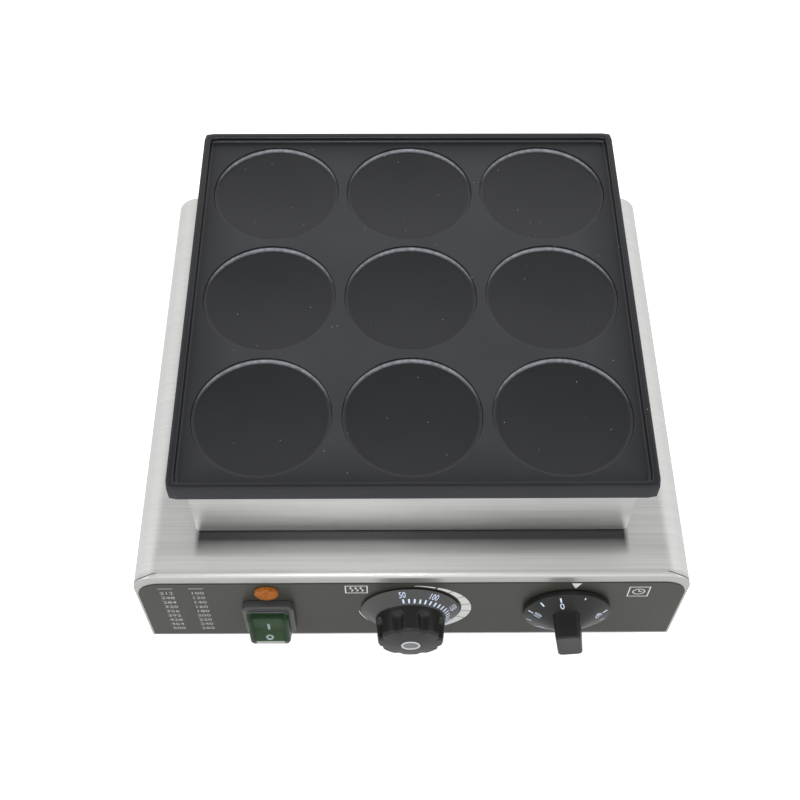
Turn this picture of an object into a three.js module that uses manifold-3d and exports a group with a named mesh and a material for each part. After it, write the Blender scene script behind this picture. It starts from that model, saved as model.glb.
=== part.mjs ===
import * as THREE from "three";
import { mergeVertices } from "three/addons/utils/BufferGeometryUtils.js";
import Module from "manifold-3d";

// Countertop electric griddle with nine round hollows for small pancakes.
// Millimetres, +Z up, front towards -Y. The origin is under the middle of the whole
// footprint, knobs and cable gland included, at the height of the feet's undersides.

// Sheet and clearances
const sheet = 1.2;
const seatGap = 0.3;
const overrun = 2;
const weldDistance = 0.0001;

// Griddle plate
const hollowRows = 3;
const hollowDiameter = 80;
const hollowGap = 5.3;
const hollowDepth = 4.5;
const hollowFillet = 4;
const deckMargin = 5;
const deckCornerRadius = 2.5;
const rimWidth = 4.3;
const rimHeight = 3.8;
const plateThickness = 8.8;
const plateCornerRadius = 3;

// Heater box under the plate
const plateOverhang = 8;
const boxRise = 53.2;
const boxTopFlange = 10;
const boxBottomFlange = 14;

// Body casing
const bodyWidth = 326;
const bodyHeight = 84;
const ledgeFront = 29.4;
const ledgeRear = 11;
const shoulderRadius = 16;
const foldRadius = 2.5;
const cornerSeam = 0.5;
const sideFlange = 36;
const frontFlange = 12;
const wiringHoleInset = 17.6;

// Rear panel and its vents
const rearRecess = 1;
const rearReturn = 10;
const ventLength = 34;
const ventWidth = 3.5;
const ventPitch = 8;
const rearVentRows = 5;
const rearVentOffset = 62;

// Base plate and its vents
const baseInset = 2;
const baseVentColumns = 4;
const baseVentRows = 5;
const baseVentPitchX = 48;

// Feet
const footHeight = 18;
const footTopRadius = 14;
const footBottomRadius = 12;
const footInsetX = 25;
const footInsetY = 27;
const footBoreDepth = 8;
const footBoreRadius = 6;

// Screws, studs and nuts
const screwRadius = 2;
const screwHeadRadius = 4;
const screwHeadHeight = 2.4;
const footScrewReach = 5;
const boxScrewReach = 4;
const boxScrewSpread = 160;
const studRadius = 3;
const studSpreadX = 150;
const studDepthInPlate = 5;
const studCollarRadius = 6;
const studCollarHeight = 4;
const studTail = 3;
const nutRadius = 5.8;
const nutHeight = 5;

// Heating elements and the bars that press them to the plate
const elementRadius = 4.2;
const elementLegOffset = 17;
const elementLegReach = 85;
const elementDropX = 98;
const elementDropBend = 10;
const elementTail = 12;
const barWidth = 20;
const barThickness = 3;
const barOverreach = 6;

// Insulation board and the shelf that carries it
const shelfClearance = 2.4;
const boardThickness = 26;
const boardInset = 13;

// Thermostat bulb, capillary tube and clip
const bulbRadius = 3;
const bulbLength = 72;
const bulbCentreX = 16;
const capillaryRadius = 1.2;
const capillaryDropX = 48;
const capillaryBend = 9;
const clipWidth = 9;
const clipWall = 1;
const clipFoot = 6;

// Control film on the front face
const filmBorder = 2.5;
const filmSideBorder = 1.7;
const filmTopBand = 8.6;
const filmCornerRadius = 14.3;
const filmGap = 0.2;
const filmThickness = 0.3;

// Temperature control. Every rise on the front and the rear is from the casing's middle height.
const dialX = -0.8;
const dialRise = -1;
const knobStandoff = 0.7;
const temperatureSkirtRadius = 29.5;
const temperatureSkirtEdge = 0.9;
const temperatureGripRadius = 21;
const temperatureGripStart = 7.2;
const temperatureKnobReach = 23.2;
const temperatureKnobChamfer = 1.5;
const temperatureGripTaper = 1.7;
const knobCrownRadius = 8;
const knobCrownRise = 1.4;
const fluteCount = 8;
const fluteRadius = 4.2;
const fluteCentreRadius = 22.2;
const fluteStart = 3;
const knobCapRadius = 5.9;
const knobCapThickness = 1.2;
const knobCapProud = 0.4;
const knobBossRadius = 7;
const knobHollowRadius = 22;
const knobHollowDepth = 3;
const shaftRadius = 3;
const shaftInKnob = 15;
const shaftInControl = 18;
const shaftHoleRadius = 5;
const thermostatWidth = 42;
const thermostatHeight = 36;
const thermostatDepth = 32;
const controlScrewOffset = 14;
const controlScrewReach = 7;
const controlScrewHeadHeight = 1.8;
const controlScrewHeadRadius = 3.4;

// Timer
const timerX = 93.5;
const timerRise = -1;
const timerSkirtRadius = 26.2;
const timerSkirtEdge = 3.6;
const timerConeRadius = 8;
const timerConeRise = 8.7;
const timerSkirtChamfer = 0.8;
const timerGripWidth = 12.8;
const timerGripLength = 27.5;
const timerGripChamfer = 2.6;
const timerKnobReach = 25.7;
const timerRestTurn = 10;
const timerWidth = 50;
const timerBodyHeight = 46;
const timerDepth = 40;

// Pilot lamp
const lampX = -85.6;
const lampRise = 23.1;
const lampLensRadius = 7.2;
const lampLensBase = 1;
const lampLensHeight = 4;
const lampBarrelRadius = 6;
const lampBarrelLength = 24;
const lampCollarRadius = 8;
const lampCollarHeight = 3;

// Rocker switch with its clear boot
const switchX = -86.1;
const switchRise = -8.4;
const rockerWidth = 20.6;
const rockerLength = 26;
const rockerGap = 0.5;
const rockerEndGap = 1.2;
const rockerRise = 10.2;
const rockerPivotDepth = 1;
const rockerTilt = 8;
const rockerSkirtDepth = 4;
const rockerSkirtShare = 0.76;
const rockerWaistShare = 0.96;
const rockerWaistRise = 2;
const switchWall = 0.6;
const switchBezelLip = 1;
const switchBezelHeight = 2;
const switchWellDepth = 8;
const switchDepth = 26;
const switchTabWidth = 6.3;
const switchTabThickness = 1;
const switchTabLength = 8;
const switchTabOffset = 7;
const bootFlangeWidth = 30.8;
const bootFlangeLength = 38;
const bootFlangeThickness = 5;
const bootFlangeCorner = 4;
const bootWall = 0.8;
const bootReach = 14.8;
const bootCorner = 3;

// Terminal block, cable gland and earth screw
const blockWidth = 58;
const blockDepth = 24;
const blockHeight = 20;
const blockX = 74;
const blockToRear = 42;
const blockWays = 5;
const blockWayRadius = 2;
const blockWayDepth = 8;
const glandInset = 63;
const glandRise = 0;
const glandBarrelRadius = 8;
const glandBoreRadius = 5;
const glandHexRadius = 14;
const glandHexHeight = 6;
const glandDomeRadius = 11.5;
const glandDomeHeight = 19;
const glandBarrelInside = 10;
const glandNutHeight = 5;
const earthInset = 27;
const earthRise = -12;
const earthScrewRadius = 2.5;
const earthHeadRadius = 5;
const earthHeadHeight = 3.5;
const earthReach = 14;

// Wiring inside the casing
const leadRadius = 1.8;
const ferruleRadius = 2.6;
const ferruleLength = 10;
const busOffset = 6;
const leadLane = 22;
const leadBend = 9;
const loomRadius = 3.2;
const loomRise = 14;
const loomSetback = 20;

// Faceting
const hollowSides = 36;
const hollowArcSteps = 3;
const shoulderSteps = 4;
const knobSides = 40;
const fluteSides = 12;
const holeSides = 12;
const smallSides = 8;
const footSides = 16;
const hexSides = 6;
const tubeSides = 8;
const leadSides = 6;
const bendSteps = 4;
const domeSteps = 4;

// Sizes that follow
const degree = Math.PI / 180;
const quarterTurn = Math.PI / 2;
const hollowPitch = hollowDiameter + hollowGap;
const deckSide = (hollowRows - 1) * hollowPitch + hollowDiameter + 2 * deckMargin;
const plateSide = deckSide + 2 * rimWidth;
const boxSide = plateSide - 2 * plateOverhang;
const boxInside = boxSide - 2 * sheet;
const frontY = -(boxSide / 2 + ledgeFront);
const rearY = boxSide / 2 + ledgeRear;
const baseUnderZ = footHeight + seatGap;
const baseTopZ = baseUnderZ + sheet;
const bodyBottomZ = baseTopZ + seatGap;
const bodyTopZ = bodyBottomZ + bodyHeight;
const plateUnderZ = bodyTopZ + boxRise;
const deckZ = plateUnderZ + plateThickness;
const bodyMiddle = bodyHeight / 2;
const dialHeight = bodyMiddle + dialRise;
const timerHeight = bodyMiddle + timerRise;
const lampHeight = bodyMiddle + lampRise;
const switchHeight = bodyMiddle + switchRise;
const glandHeight = bodyMiddle + glandRise;
const earthHeight = bodyMiddle + earthRise;
const glandX = bodyWidth / 2 - glandInset;
const earthX = bodyWidth / 2 - earthInset;
const switchWellWidth = rockerWidth + 2 * rockerGap;
const switchWellLength = rockerLength + 2 * rockerEndGap;
const switchOuterWidth = switchWellWidth + 2 * switchWall;
const switchOuterLength = switchWellLength + 2 * switchWall;
const bezelWidth = switchOuterWidth + 2 * switchBezelLip;
const bezelLength = switchOuterLength + 2 * switchBezelLip;
const filmFront = filmGap + filmThickness;
const knobBack = filmFront + knobStandoff;
const rearFaceY = rearY - rearRecess;
const glandEndY = rearFaceY + seatGap + glandHexHeight + glandDomeHeight;
const knobEndY = frontY - timerKnobReach;
const rows = [...Array(hollowRows).keys()].map((i) => (i - (hollowRows - 1) / 2) * hollowPitch);

// Solids: joining and cutting closed meshes
const wasm = await Module();
wasm.setup();

function toSolid(geometry) {
  const bare = geometry.clone();
  bare.deleteAttribute("normal");
  bare.deleteAttribute("uv");
  const merged = mergeVertices(bare, weldDistance);
  const mesh = new wasm.Mesh({
    numProp: 3,
    vertProperties: new Float32Array(merged.attributes.position.array),
    triVerts: new Uint32Array(merged.index.array),
  });
  return new wasm.Manifold(mesh);
}

function toGeometry(solid) {
  const mesh = solid.getMesh();
  const geometry = new THREE.BufferGeometry();
  geometry.setAttribute("position", new THREE.BufferAttribute(mesh.vertProperties, 3));
  geometry.setIndex(new THREE.BufferAttribute(mesh.triVerts, 1));
  const flat = geometry.toNonIndexed();
  flat.computeVertexNormals();
  return flat;
}

function cut(geometry, ...cutters) {
  let solid = toSolid(geometry);
  for (const cutter of cutters.flat()) solid = solid.subtract(toSolid(cutter));
  return toGeometry(solid);
}

function join(...geometries) {
  const [first, ...others] = geometries.flat();
  let solid = toSolid(first);
  for (const other of others) solid = solid.add(toSolid(other));
  return toGeometry(solid);
}

function common(first, second) {
  return toGeometry(toSolid(first).intersect(toSolid(second)));
}

// Plain shapes: a box between limits, a prism on Z, a round bar on Z, a turned piece on Z
function slab(x, y, z) {
  const box = new THREE.BoxGeometry(x[1] - x[0], y[1] - y[0], z[1] - z[0]);
  return box.translate((x[0] + x[1]) / 2, (y[0] + y[1]) / 2, (z[0] + z[1]) / 2);
}

function prism(outline, from, to) {
  const settings = { depth: to - from, bevelEnabled: false, curveSegments: shoulderSteps };
  return new THREE.ExtrudeGeometry(outline, settings).translate(0, 0, from);
}

function bar(radius, from, to, sides = holeSides, endRadius = radius) {
  const geometry = new THREE.CylinderGeometry(endRadius, radius, to - from, sides);
  return geometry.rotateX(quarterTurn).translate(0, 0, (from + to) / 2);
}

function turned(profile, sides = knobSides) {
  const points = profile.map(([r, z]) => new THREE.Vector2(r, z));
  return new THREE.LatheGeometry(points, sides).rotateX(quarterTurn);
}

// The route of a bent tube or wire: straight runs joined by bends at the given corners.
// A corner may give a bend of its own as its fourth value.
class BentRoute extends THREE.Curve {
  constructor(corners, bend) {
    super();
    const points = corners.map((corner) => new THREE.Vector3(...corner));
    this.knots = [points[0]];
    for (let i = 1; i < points.length - 1; i++) {
      const [before, at, after] = points.slice(i - 1, i + 2);
      const asked = corners[i][3] ?? bend;
      const reach = Math.min(asked, before.distanceTo(at) / 2, at.distanceTo(after) / 2);
      const start = at.clone().sub(before).setLength(-reach).add(at);
      const end = after.clone().sub(at).setLength(reach).add(at);
      const curve = new THREE.QuadraticBezierCurve3(start, at, end);
      const fresh = start.distanceTo(this.knots[this.knots.length - 1]) > reach / bendSteps;
      this.knots.push(...curve.getPoints(bendSteps).slice(fresh ? 0 : 1));
    }
    this.knots.push(points[points.length - 1]);
  }

  getPoint(t, target = new THREE.Vector3()) {
    const place = t * (this.knots.length - 1);
    const i = Math.min(Math.floor(place), this.knots.length - 2);
    return target.lerpVectors(this.knots[i], this.knots[i + 1], place - i);
  }

  getUtoTmapping(u) {
    return u;
  }
}

function bentTube(corners, bend, radius, sides = leadSides) {
  const route = new BentRoute(corners, bend);
  const section = new THREE.Shape();
  section.absarc(0, 0, radius, 0, 2 * Math.PI);
  const settings = { steps: route.knots.length - 1, curveSegments: sides / 2, extrudePath: route };
  return new THREE.ExtrudeGeometry(section, settings);
}

// A prism whose outline lies in X and Z and which runs along Y, and one that runs along X
function prismAlongY(outline, from, to) {
  return prism(outline, -to, -from).rotateX(quarterTurn);
}

function prismAlongX(outline, from, to) {
  const turn = new THREE.Matrix4().makeBasis(
    new THREE.Vector3(0, 1, 0),
    new THREE.Vector3(0, 0, 1),
    new THREE.Vector3(1, 0, 0),
  );
  return prism(outline, from, to).applyMatrix4(turn);
}

// Outlines: rectangles with four rounded corners, with two rounded upper corners, and chamfered
function roundedOutline(width, height, radius) {
  const [x, y] = [width / 2 - radius, height / 2 - radius];
  const outline = new THREE.Shape();
  [[x, y], [-x, y], [-x, -y], [x, -y]].forEach(([centreX, centreY], i) => {
    outline.absarc(centreX, centreY, radius, i * quarterTurn, (i + 1) * quarterTurn);
  });
  outline.closePath();
  return outline;
}

function archOutline(width, bottom, top, radius) {
  const outline = new THREE.Shape();
  outline.moveTo(-width / 2, bottom);
  outline.lineTo(width / 2, bottom);
  outline.absarc(width / 2 - radius, top - radius, radius, 0, quarterTurn);
  outline.absarc(-width / 2 + radius, top - radius, radius, quarterTurn, 2 * quarterTurn);
  outline.closePath();
  return outline;
}

function polygon(points) {
  return new THREE.Shape(points.map(([x, y]) => new THREE.Vector2(x, y)));
}

// Places: the same piece moved, or the controls' own frame laid on the front face
function moved(geometry, x, y, z) {
  return geometry.clone().translate(x, y, z);
}

function onPanel(geometry, x, height) {
  return geometry.clone().translate(x, height, 0).rotateX(quarterTurn).translate(0, frontY, bodyBottomZ);
}

// Materials
function finish(color, roughness, metalness) {
  return new THREE.MeshStandardMaterial({ color, roughness, metalness });
}

const brushedSteel = () => finish(0xb9b9b7, 0.35, 1);
const plainSteel = () => finish(0x8f8f8d, 0.45, 1);
const coating = () => finish(0x1d1e20, 0.6, 0);
const film = () => finish(0x3b3c36, 0.5, 0);
const darkPlastic = () => finish(0x26272a, 0.4, 0);
const rubber = () => finish(0x17171a, 0.8, 0);

const griddle = new THREE.Group();
const machine = new THREE.Group();
machine.position.y = -(glandEndY + knobEndY) / 2;
griddle.add(machine);

const panel = new THREE.Group();
panel.position.set(0, frontY, bodyBottomZ);
panel.rotation.x = quarterTurn;
machine.add(panel);

function addTo(group, name, geometry, material, x = 0, y = 0, z = 0) {
  const mesh = new THREE.Mesh(geometry, material);
  mesh.name = name;
  mesh.position.set(x, y, z);
  group.add(mesh);
  return mesh;
}

const corners = [
  ["front_left", -1, -1],
  ["front_right", 1, -1],
  ["rear_left", -1, 1],
  ["rear_right", 1, 1],
];

// Shared places
const footX = bodyWidth / 2 - footInsetX;
const footY = { "-1": frontY + footInsetY, 1: rearY - footInsetY };
const boxScrewX = (boxInside - boxBottomFlange) / 2 + sheet / 2;
const boxScrewY = boxScrewSpread / 2;
const studX = studSpreadX / 2;
const studY = hollowPitch / 2;
const wiringHole = boxSide / 2 - wiringHoleInset;
const holeFor = (radius) => radius + seatGap;

// Cut-outs that the film and the casing's front share
function panelCutouts() {
  const through = [-overrun - sheet, overrun];
  const controlHoles = [
    [dialX, dialHeight],
    [timerX, timerHeight],
  ].flatMap(([x, height]) => [
    onPanel(bar(shaftHoleRadius, ...through), x, height),
    onPanel(bar(holeFor(screwRadius), ...through, smallSides), x - controlScrewOffset, height),
    onPanel(bar(holeFor(screwRadius), ...through, smallSides), x + controlScrewOffset, height),
  ]);
  const switchHole = slab(
    [-switchOuterWidth / 2 - seatGap, switchOuterWidth / 2 + seatGap],
    [-switchOuterLength / 2 - seatGap, switchOuterLength / 2 + seatGap],
    through,
  );
  return [
    ...controlHoles,
    onPanel(bar(holeFor(lampBarrelRadius), ...through), lampX, lampHeight),
    onPanel(switchHole, switchX, switchHeight),
  ];
}

// Casing: one sheet folded down at the front and rolled round both sides, open at the rear.
// The front flap meets the rolled shoulders in a fine seam.
function bodyShell() {
  const outerFold = new THREE.Shape();
  outerFold.moveTo(rearY, bodyBottomZ);
  outerFold.lineTo(rearY, bodyTopZ);
  outerFold.absarc(frontY + foldRadius, bodyTopZ - foldRadius, foldRadius, quarterTurn, 2 * quarterTurn);
  outerFold.lineTo(frontY, bodyBottomZ);
  const innerFold = new THREE.Shape();
  const innerFoldRadius = foldRadius - sheet;
  innerFold.moveTo(rearY + overrun, bodyBottomZ + sheet);
  innerFold.lineTo(rearY + overrun, bodyTopZ - sheet);
  innerFold.absarc(
    frontY + foldRadius, bodyTopZ - foldRadius, innerFoldRadius, quarterTurn, 2 * quarterTurn,
  );
  innerFold.lineTo(frontY + sheet, bodyBottomZ + sheet);
  const innerWidth = bodyWidth - 2 * sheet;
  const outer = common(
    prismAlongY(archOutline(bodyWidth, bodyBottomZ, bodyTopZ, shoulderRadius), frontY, rearY),
    prismAlongX(outerFold, -bodyWidth / 2, bodyWidth / 2),
  );
  const innerArch = archOutline(
    innerWidth, bodyBottomZ + sheet, bodyTopZ - sheet, shoulderRadius - sheet,
  );
  const inner = common(
    prismAlongY(innerArch, frontY + sheet, rearY + overrun),
    prismAlongX(innerFold, -innerWidth / 2, innerWidth / 2),
  );
  const belowOpening = slab(
    [-bodyWidth / 2 + sideFlange, bodyWidth / 2 - sideFlange],
    [frontY + frontFlange, rearY + overrun],
    [bodyBottomZ - overrun, bodyBottomZ + sheet + overrun],
  );
  const wiringOpening = slab(
    [-wiringHole, wiringHole],
    [-wiringHole, wiringHole],
    [bodyTopZ - sheet - overrun, bodyTopZ + overrun],
  );
  const seamFrom = frontY + sheet;
  const seams = [-1, 1].map((side) => slab(
    [side > 0 ? bodyWidth / 2 - shoulderRadius : -bodyWidth / 2 - overrun,
      side > 0 ? bodyWidth / 2 + overrun : -bodyWidth / 2 + shoulderRadius],
    [seamFrom, seamFrom + cornerSeam],
    [bodyBottomZ + sheet, bodyTopZ + overrun],
  ));
  const screwHoles = corners.flatMap(([, side, end]) => [
    moved(bar(holeFor(screwRadius), -overrun, sheet + overrun, smallSides),
      side * footX, footY[end], bodyBottomZ),
    moved(bar(holeFor(screwRadius), -sheet - overrun, overrun, smallSides),
      side * boxScrewX, end * boxScrewY, bodyTopZ),
  ]);
  return cut(outer, inner, belowOpening, wiringOpening, seams, screwHoles, panelCutouts());
}

addTo(machine, "body_shell", bodyShell(), brushedSteel());

// Printed film on the front face
const filmOutline = archOutline(
  bodyWidth - 2 * filmSideBorder, bodyBottomZ + filmBorder, bodyTopZ - filmTopBand, filmCornerRadius,
);
const filmSheet = prismAlongY(filmOutline, frontY - filmFront, frontY - filmGap);
addTo(machine, "control_film", cut(filmSheet, panelCutouts()), film());

// Rear panel: a shallow tray inside the casing's open end, with vent slots and the cable's hole
function rearPanel() {
  const bottom = bodyBottomZ + sheet + seatGap;
  const top = bodyTopZ - sheet - seatGap;
  const width = bodyWidth - 2 * sheet - 2 * seatGap;
  const radius = shoulderRadius - sheet - seatGap;
  const tray = prismAlongY(
    archOutline(width, bottom, top, radius), rearFaceY - rearReturn, rearFaceY,
  );
  const hollow = prismAlongY(
    archOutline(width - 2 * sheet, bottom + sheet, top - sheet, radius - sheet),
    rearFaceY - rearReturn - overrun,
    rearFaceY - sheet,
  );
  const vents = [-1, 1].flatMap((side) => [...Array(rearVentRows).keys()].map((row) => {
    const x = side * rearVentOffset - rearVentOffset / 2;
    const z = bodyBottomZ + bodyMiddle + (row - (rearVentRows - 1) / 2) * ventPitch;
    return slab(
      [x - ventLength / 2, x + ventLength / 2],
      [rearFaceY - sheet - overrun, rearFaceY + overrun],
      [z - ventWidth / 2, z + ventWidth / 2],
    );
  }));
  const along = (radiusOfHole, x, height) => bar(holeFor(radiusOfHole), -overrun, sheet + overrun)
    .rotateX(quarterTurn)
    .translate(x, rearFaceY, bodyBottomZ + height);
  return cut(
    tray, hollow, vents,
    along(glandBarrelRadius, glandX, glandHeight),
    along(earthScrewRadius, earthX, earthHeight),
  );
}

addTo(machine, "rear_panel", rearPanel(), brushedSteel());

// Base plate under the casing's flanges, with vent slots
function basePlate() {
  const plate = slab(
    [-bodyWidth / 2 + baseInset, bodyWidth / 2 - baseInset],
    [frontY + baseInset, rearY - baseInset],
    [baseUnderZ, baseTopZ],
  );
  const middleY = (frontY + rearY) / 2;
  const through = [baseUnderZ - overrun, baseTopZ + overrun];
  const slots = [...Array(baseVentColumns).keys()].flatMap((column) =>
    [...Array(baseVentRows).keys()].map((row) => {
      const x = (column - (baseVentColumns - 1) / 2) * baseVentPitchX;
      const y = middleY + (row - (baseVentRows - 1) / 2) * ventPitch;
      return slab(
        [x - ventLength / 2, x + ventLength / 2],
        [y - ventWidth / 2, y + ventWidth / 2],
        through,
      );
    }));
  const holes = corners.map(([, side, end]) =>
    moved(bar(holeFor(screwRadius), ...through, smallSides), side * footX, footY[end], 0));
  return cut(plate, slots, holes);
}

addTo(machine, "base_plate", basePlate(), brushedSteel());

// Feet, each with a screw from below through the base plate and the casing's flange
function foot() {
  const cone = bar(footBottomRadius, 0, footHeight, footSides, footTopRadius);
  return cut(
    cone,
    bar(footBoreRadius, -overrun, footBoreDepth, holeSides),
    bar(holeFor(screwRadius), 0, footHeight + overrun, smallSides),
  );
}

function screw(headRadius, headHeight, radius, length) {
  return join(
    bar(headRadius, -headHeight, 0, smallSides),
    bar(radius, -headHeight / 2, length, smallSides),
  );
}

const footScrewStart = footBoreDepth - seatGap;
const footScrewLength = bodyBottomZ + sheet + footScrewReach - footScrewStart;
for (const [name, side, end] of corners) {
  const place = [side * footX, footY[end]];
  addTo(machine, `foot_${name}`, foot(), rubber(), ...place, 0);
  const piece = screw(screwHeadRadius, screwHeadHeight, screwRadius, footScrewLength);
  addTo(machine, `foot_screw_${name}`, piece, plainSteel(), ...place, footScrewStart);
}

// Heater box: four walls with flanges turned in at the top and at the bottom
function heaterBox() {
  const [bottom, top] = [bodyTopZ + seatGap, plateUnderZ - seatGap];
  const half = boxSide / 2;
  const block = slab([-half, half], [-half, half], [bottom, top]);
  const inside = half - sheet;
  const room = slab([-inside, inside], [-inside, inside], [bottom + sheet, top - sheet]);
  const [low, high] = [half - boxBottomFlange, half - boxTopFlange];
  const lower = slab([-low, low], [-low, low], [bottom - overrun, bottom + sheet + overrun]);
  const upper = slab([-high, high], [-high, high], [top - sheet - overrun, top + overrun]);
  const holes = corners.map(([, side, end]) =>
    moved(bar(holeFor(screwRadius), -overrun, sheet + overrun, smallSides),
      side * boxScrewX, end * boxScrewY, bottom));
  return cut(block, room, lower, upper, holes);
}

addTo(machine, "heater_box", heaterBox(), brushedSteel());

// Shelf on the box's lower flange, and the insulation board on it. Both are pierced for the
// element ends, the studs and the capillary tube.
const shelfBottomZ = bodyTopZ + 2 * seatGap + sheet;
const shelfTopZ = shelfBottomZ + sheet;
const boardBottomZ = shelfTopZ + seatGap;
const boardTopZ = boardBottomZ + boardThickness;
const elementLegs = rows.flatMap((y) => [y - elementLegOffset, y + elementLegOffset]);

function servicePassages(from, to) {
  const legs = elementLegs.map((y) =>
    moved(bar(holeFor(elementRadius) + seatGap, from, to), -elementDropX, y, 0));
  const studs = corners.map(([, side, end]) =>
    moved(bar(holeFor(studRadius), from, to), side * studX, end * studY, 0));
  const capillary = moved(
    bar(capillaryRadius + 2 * seatGap, from, to, smallSides), -capillaryDropX, -studY, 0,
  );
  return [...legs, ...studs, capillary];
}

const shelfHalf = boxInside / 2 - shelfClearance;
const shelf = slab([-shelfHalf, shelfHalf], [-shelfHalf, shelfHalf], [shelfBottomZ, shelfTopZ]);
const shelfScrewHoles = corners.map(([, side, end]) => moved(
  bar(holeFor(screwRadius), shelfBottomZ - overrun, shelfTopZ + overrun, smallSides),
  side * boxScrewX, end * boxScrewY, 0,
));
const shelfPassages = servicePassages(shelfBottomZ - overrun, shelfTopZ + overrun);
addTo(machine, "insulation_shelf", cut(shelf, shelfPassages, shelfScrewHoles), plainSteel());

const boardHalf = shelfHalf - boardInset;
const board = slab([-boardHalf, boardHalf], [-boardHalf, boardHalf], [boardBottomZ, boardTopZ]);
const boardPassages = servicePassages(boardBottomZ - overrun, boardTopZ + overrun);
addTo(machine, "insulation_board", cut(board, boardPassages), finish(0xcfc8b4, 0.95, 0));

for (const [name, side, end] of corners) {
  const length = shelfTopZ + boxScrewReach - (bodyTopZ - sheet - seatGap);
  const piece = screw(screwHeadRadius, screwHeadHeight, screwRadius, length);
  addTo(machine, `box_screw_${name}`, piece, plainSteel(),
    side * boxScrewX, end * boxScrewY, bodyTopZ - sheet - seatGap);
}

// Griddle plate: one casting with a raised rim, round hollows and blind bores for its studs
function griddlePlate() {
  const casting = prism(
    roundedOutline(plateSide, plateSide, plateCornerRadius), -plateThickness, rimHeight,
  );
  const deck = prism(roundedOutline(deckSide, deckSide, deckCornerRadius), 0, rimHeight + overrun);
  const radius = hollowDiameter / 2;
  const fillet = [...Array(hollowArcSteps + 1).keys()].map((i) => {
    const angle = -quarterTurn + (i / hollowArcSteps) * quarterTurn;
    return [
      radius - hollowFillet + hollowFillet * Math.cos(angle),
      -hollowDepth + hollowFillet + hollowFillet * Math.sin(angle),
    ];
  });
  const profile = [[0, -hollowDepth], ...fillet, [radius, overrun], [0, overrun]];
  const hollow = turned(profile, hollowSides);
  const hollows = rows.flatMap((x) => rows.map((y) => moved(hollow, x, y, 0)));
  const bores = corners.map(([, side, end]) => moved(
    bar(holeFor(studRadius), -plateThickness - overrun, -plateThickness + studDepthInPlate + seatGap),
    side * studX, end * studY, 0,
  ));
  return cut(casting, deck, hollows, bores);
}

addTo(machine, "griddle_plate", griddlePlate(), coating(), 0, 0, deckZ);

// Heating elements: one bent tube under each row of hollows, its ends turned down at the left
const elementZ = plateUnderZ - seatGap - elementRadius;
const elementEndZ = bodyTopZ - sheet - elementTail;

function elementTube(y) {
  const [near, far] = [y - elementLegOffset, y + elementLegOffset];
  const tip = elementLegReach + elementLegOffset;
  return bentTube([
    [-elementDropX, near, elementEndZ],
    [-elementDropX, near, elementZ, elementDropBend],
    [tip, near, elementZ],
    [tip, far, elementZ],
    [-elementDropX, far, elementZ, elementDropBend],
    [-elementDropX, far, elementEndZ],
  ], elementLegOffset, elementRadius, tubeSides);
}

const elementNames = ["front", "middle", "rear"];
rows.forEach((y, i) => {
  addTo(machine, `heating_element_${elementNames[i] ?? i}`, elementTube(y), plainSteel());
});

// Bars across the elements, held by collars on the plate's four studs
const barTopZ = elementZ - elementRadius - seatGap;
const barBottomZ = barTopZ - barThickness;
const barHalf = rows[rows.length - 1] + elementLegOffset + barOverreach;
for (const [name, side] of [["left", -1], ["right", 1]]) {
  const strip = slab(
    [side * studX - barWidth / 2, side * studX + barWidth / 2], [-barHalf, barHalf], [barBottomZ, barTopZ],
  );
  const holes = [-1, 1].map((end) => moved(
    bar(holeFor(studRadius), barBottomZ - overrun, barTopZ + overrun), side * studX, end * studY, 0,
  ));
  addTo(machine, `clamp_bar_${name}`, cut(strip, holes), plainSteel());
}

// Studs: screwed into the plate, with a collar under the bar and a nut below the shelf
const studTopZ = plateUnderZ + studDepthInPlate;
const nutTopZ = shelfBottomZ - seatGap;
const studBottomZ = nutTopZ - nutHeight - studTail;
const collarTopZ = barBottomZ - seatGap;
const stud = join(
  bar(studRadius, studBottomZ, studTopZ, smallSides),
  bar(studCollarRadius, collarTopZ - studCollarHeight, collarTopZ, smallSides),
);
const nut = cut(
  bar(nutRadius, nutTopZ - nutHeight, nutTopZ, hexSides),
  bar(holeFor(studRadius), nutTopZ - nutHeight - overrun, nutTopZ + overrun, smallSides),
);
for (const [name, side, end] of corners) {
  addTo(machine, `plate_stud_${name}`, stud, plainSteel(), side * studX, end * studY, 0);
  addTo(machine, `stud_nut_${name}`, nut, plainSteel(), side * studX, end * studY, 0);
}

// Thermostat bulb under the plate, with its capillary tube down to the thermostat
const bulbZ = plateUnderZ - seatGap - bulbRadius;
const thermostatBackY = frontY + sheet + seatGap + thermostatDepth;
const dialZ = bodyBottomZ + dialHeight;
const bulbLeft = bulbCentreX - bulbLength / 2;
const bulb = bar(bulbRadius, -bulbLength / 2, bulbLength / 2, smallSides)
  .rotateY(quarterTurn)
  .translate(bulbCentreX, -studY, bulbZ);
const capillary = bentTube([
  [bulbLeft + bulbRadius, -studY, bulbZ],
  [-capillaryDropX, -studY, bulbZ],
  [-capillaryDropX, -studY, dialZ],
  [dialX, -studY, dialZ],
  [dialX, thermostatBackY + seatGap, dialZ],
], capillaryBend, capillaryRadius);
addTo(machine, "thermostat_bulb", join(bulb, capillary), finish(0xb87a4b, 0.4, 1));

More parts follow.
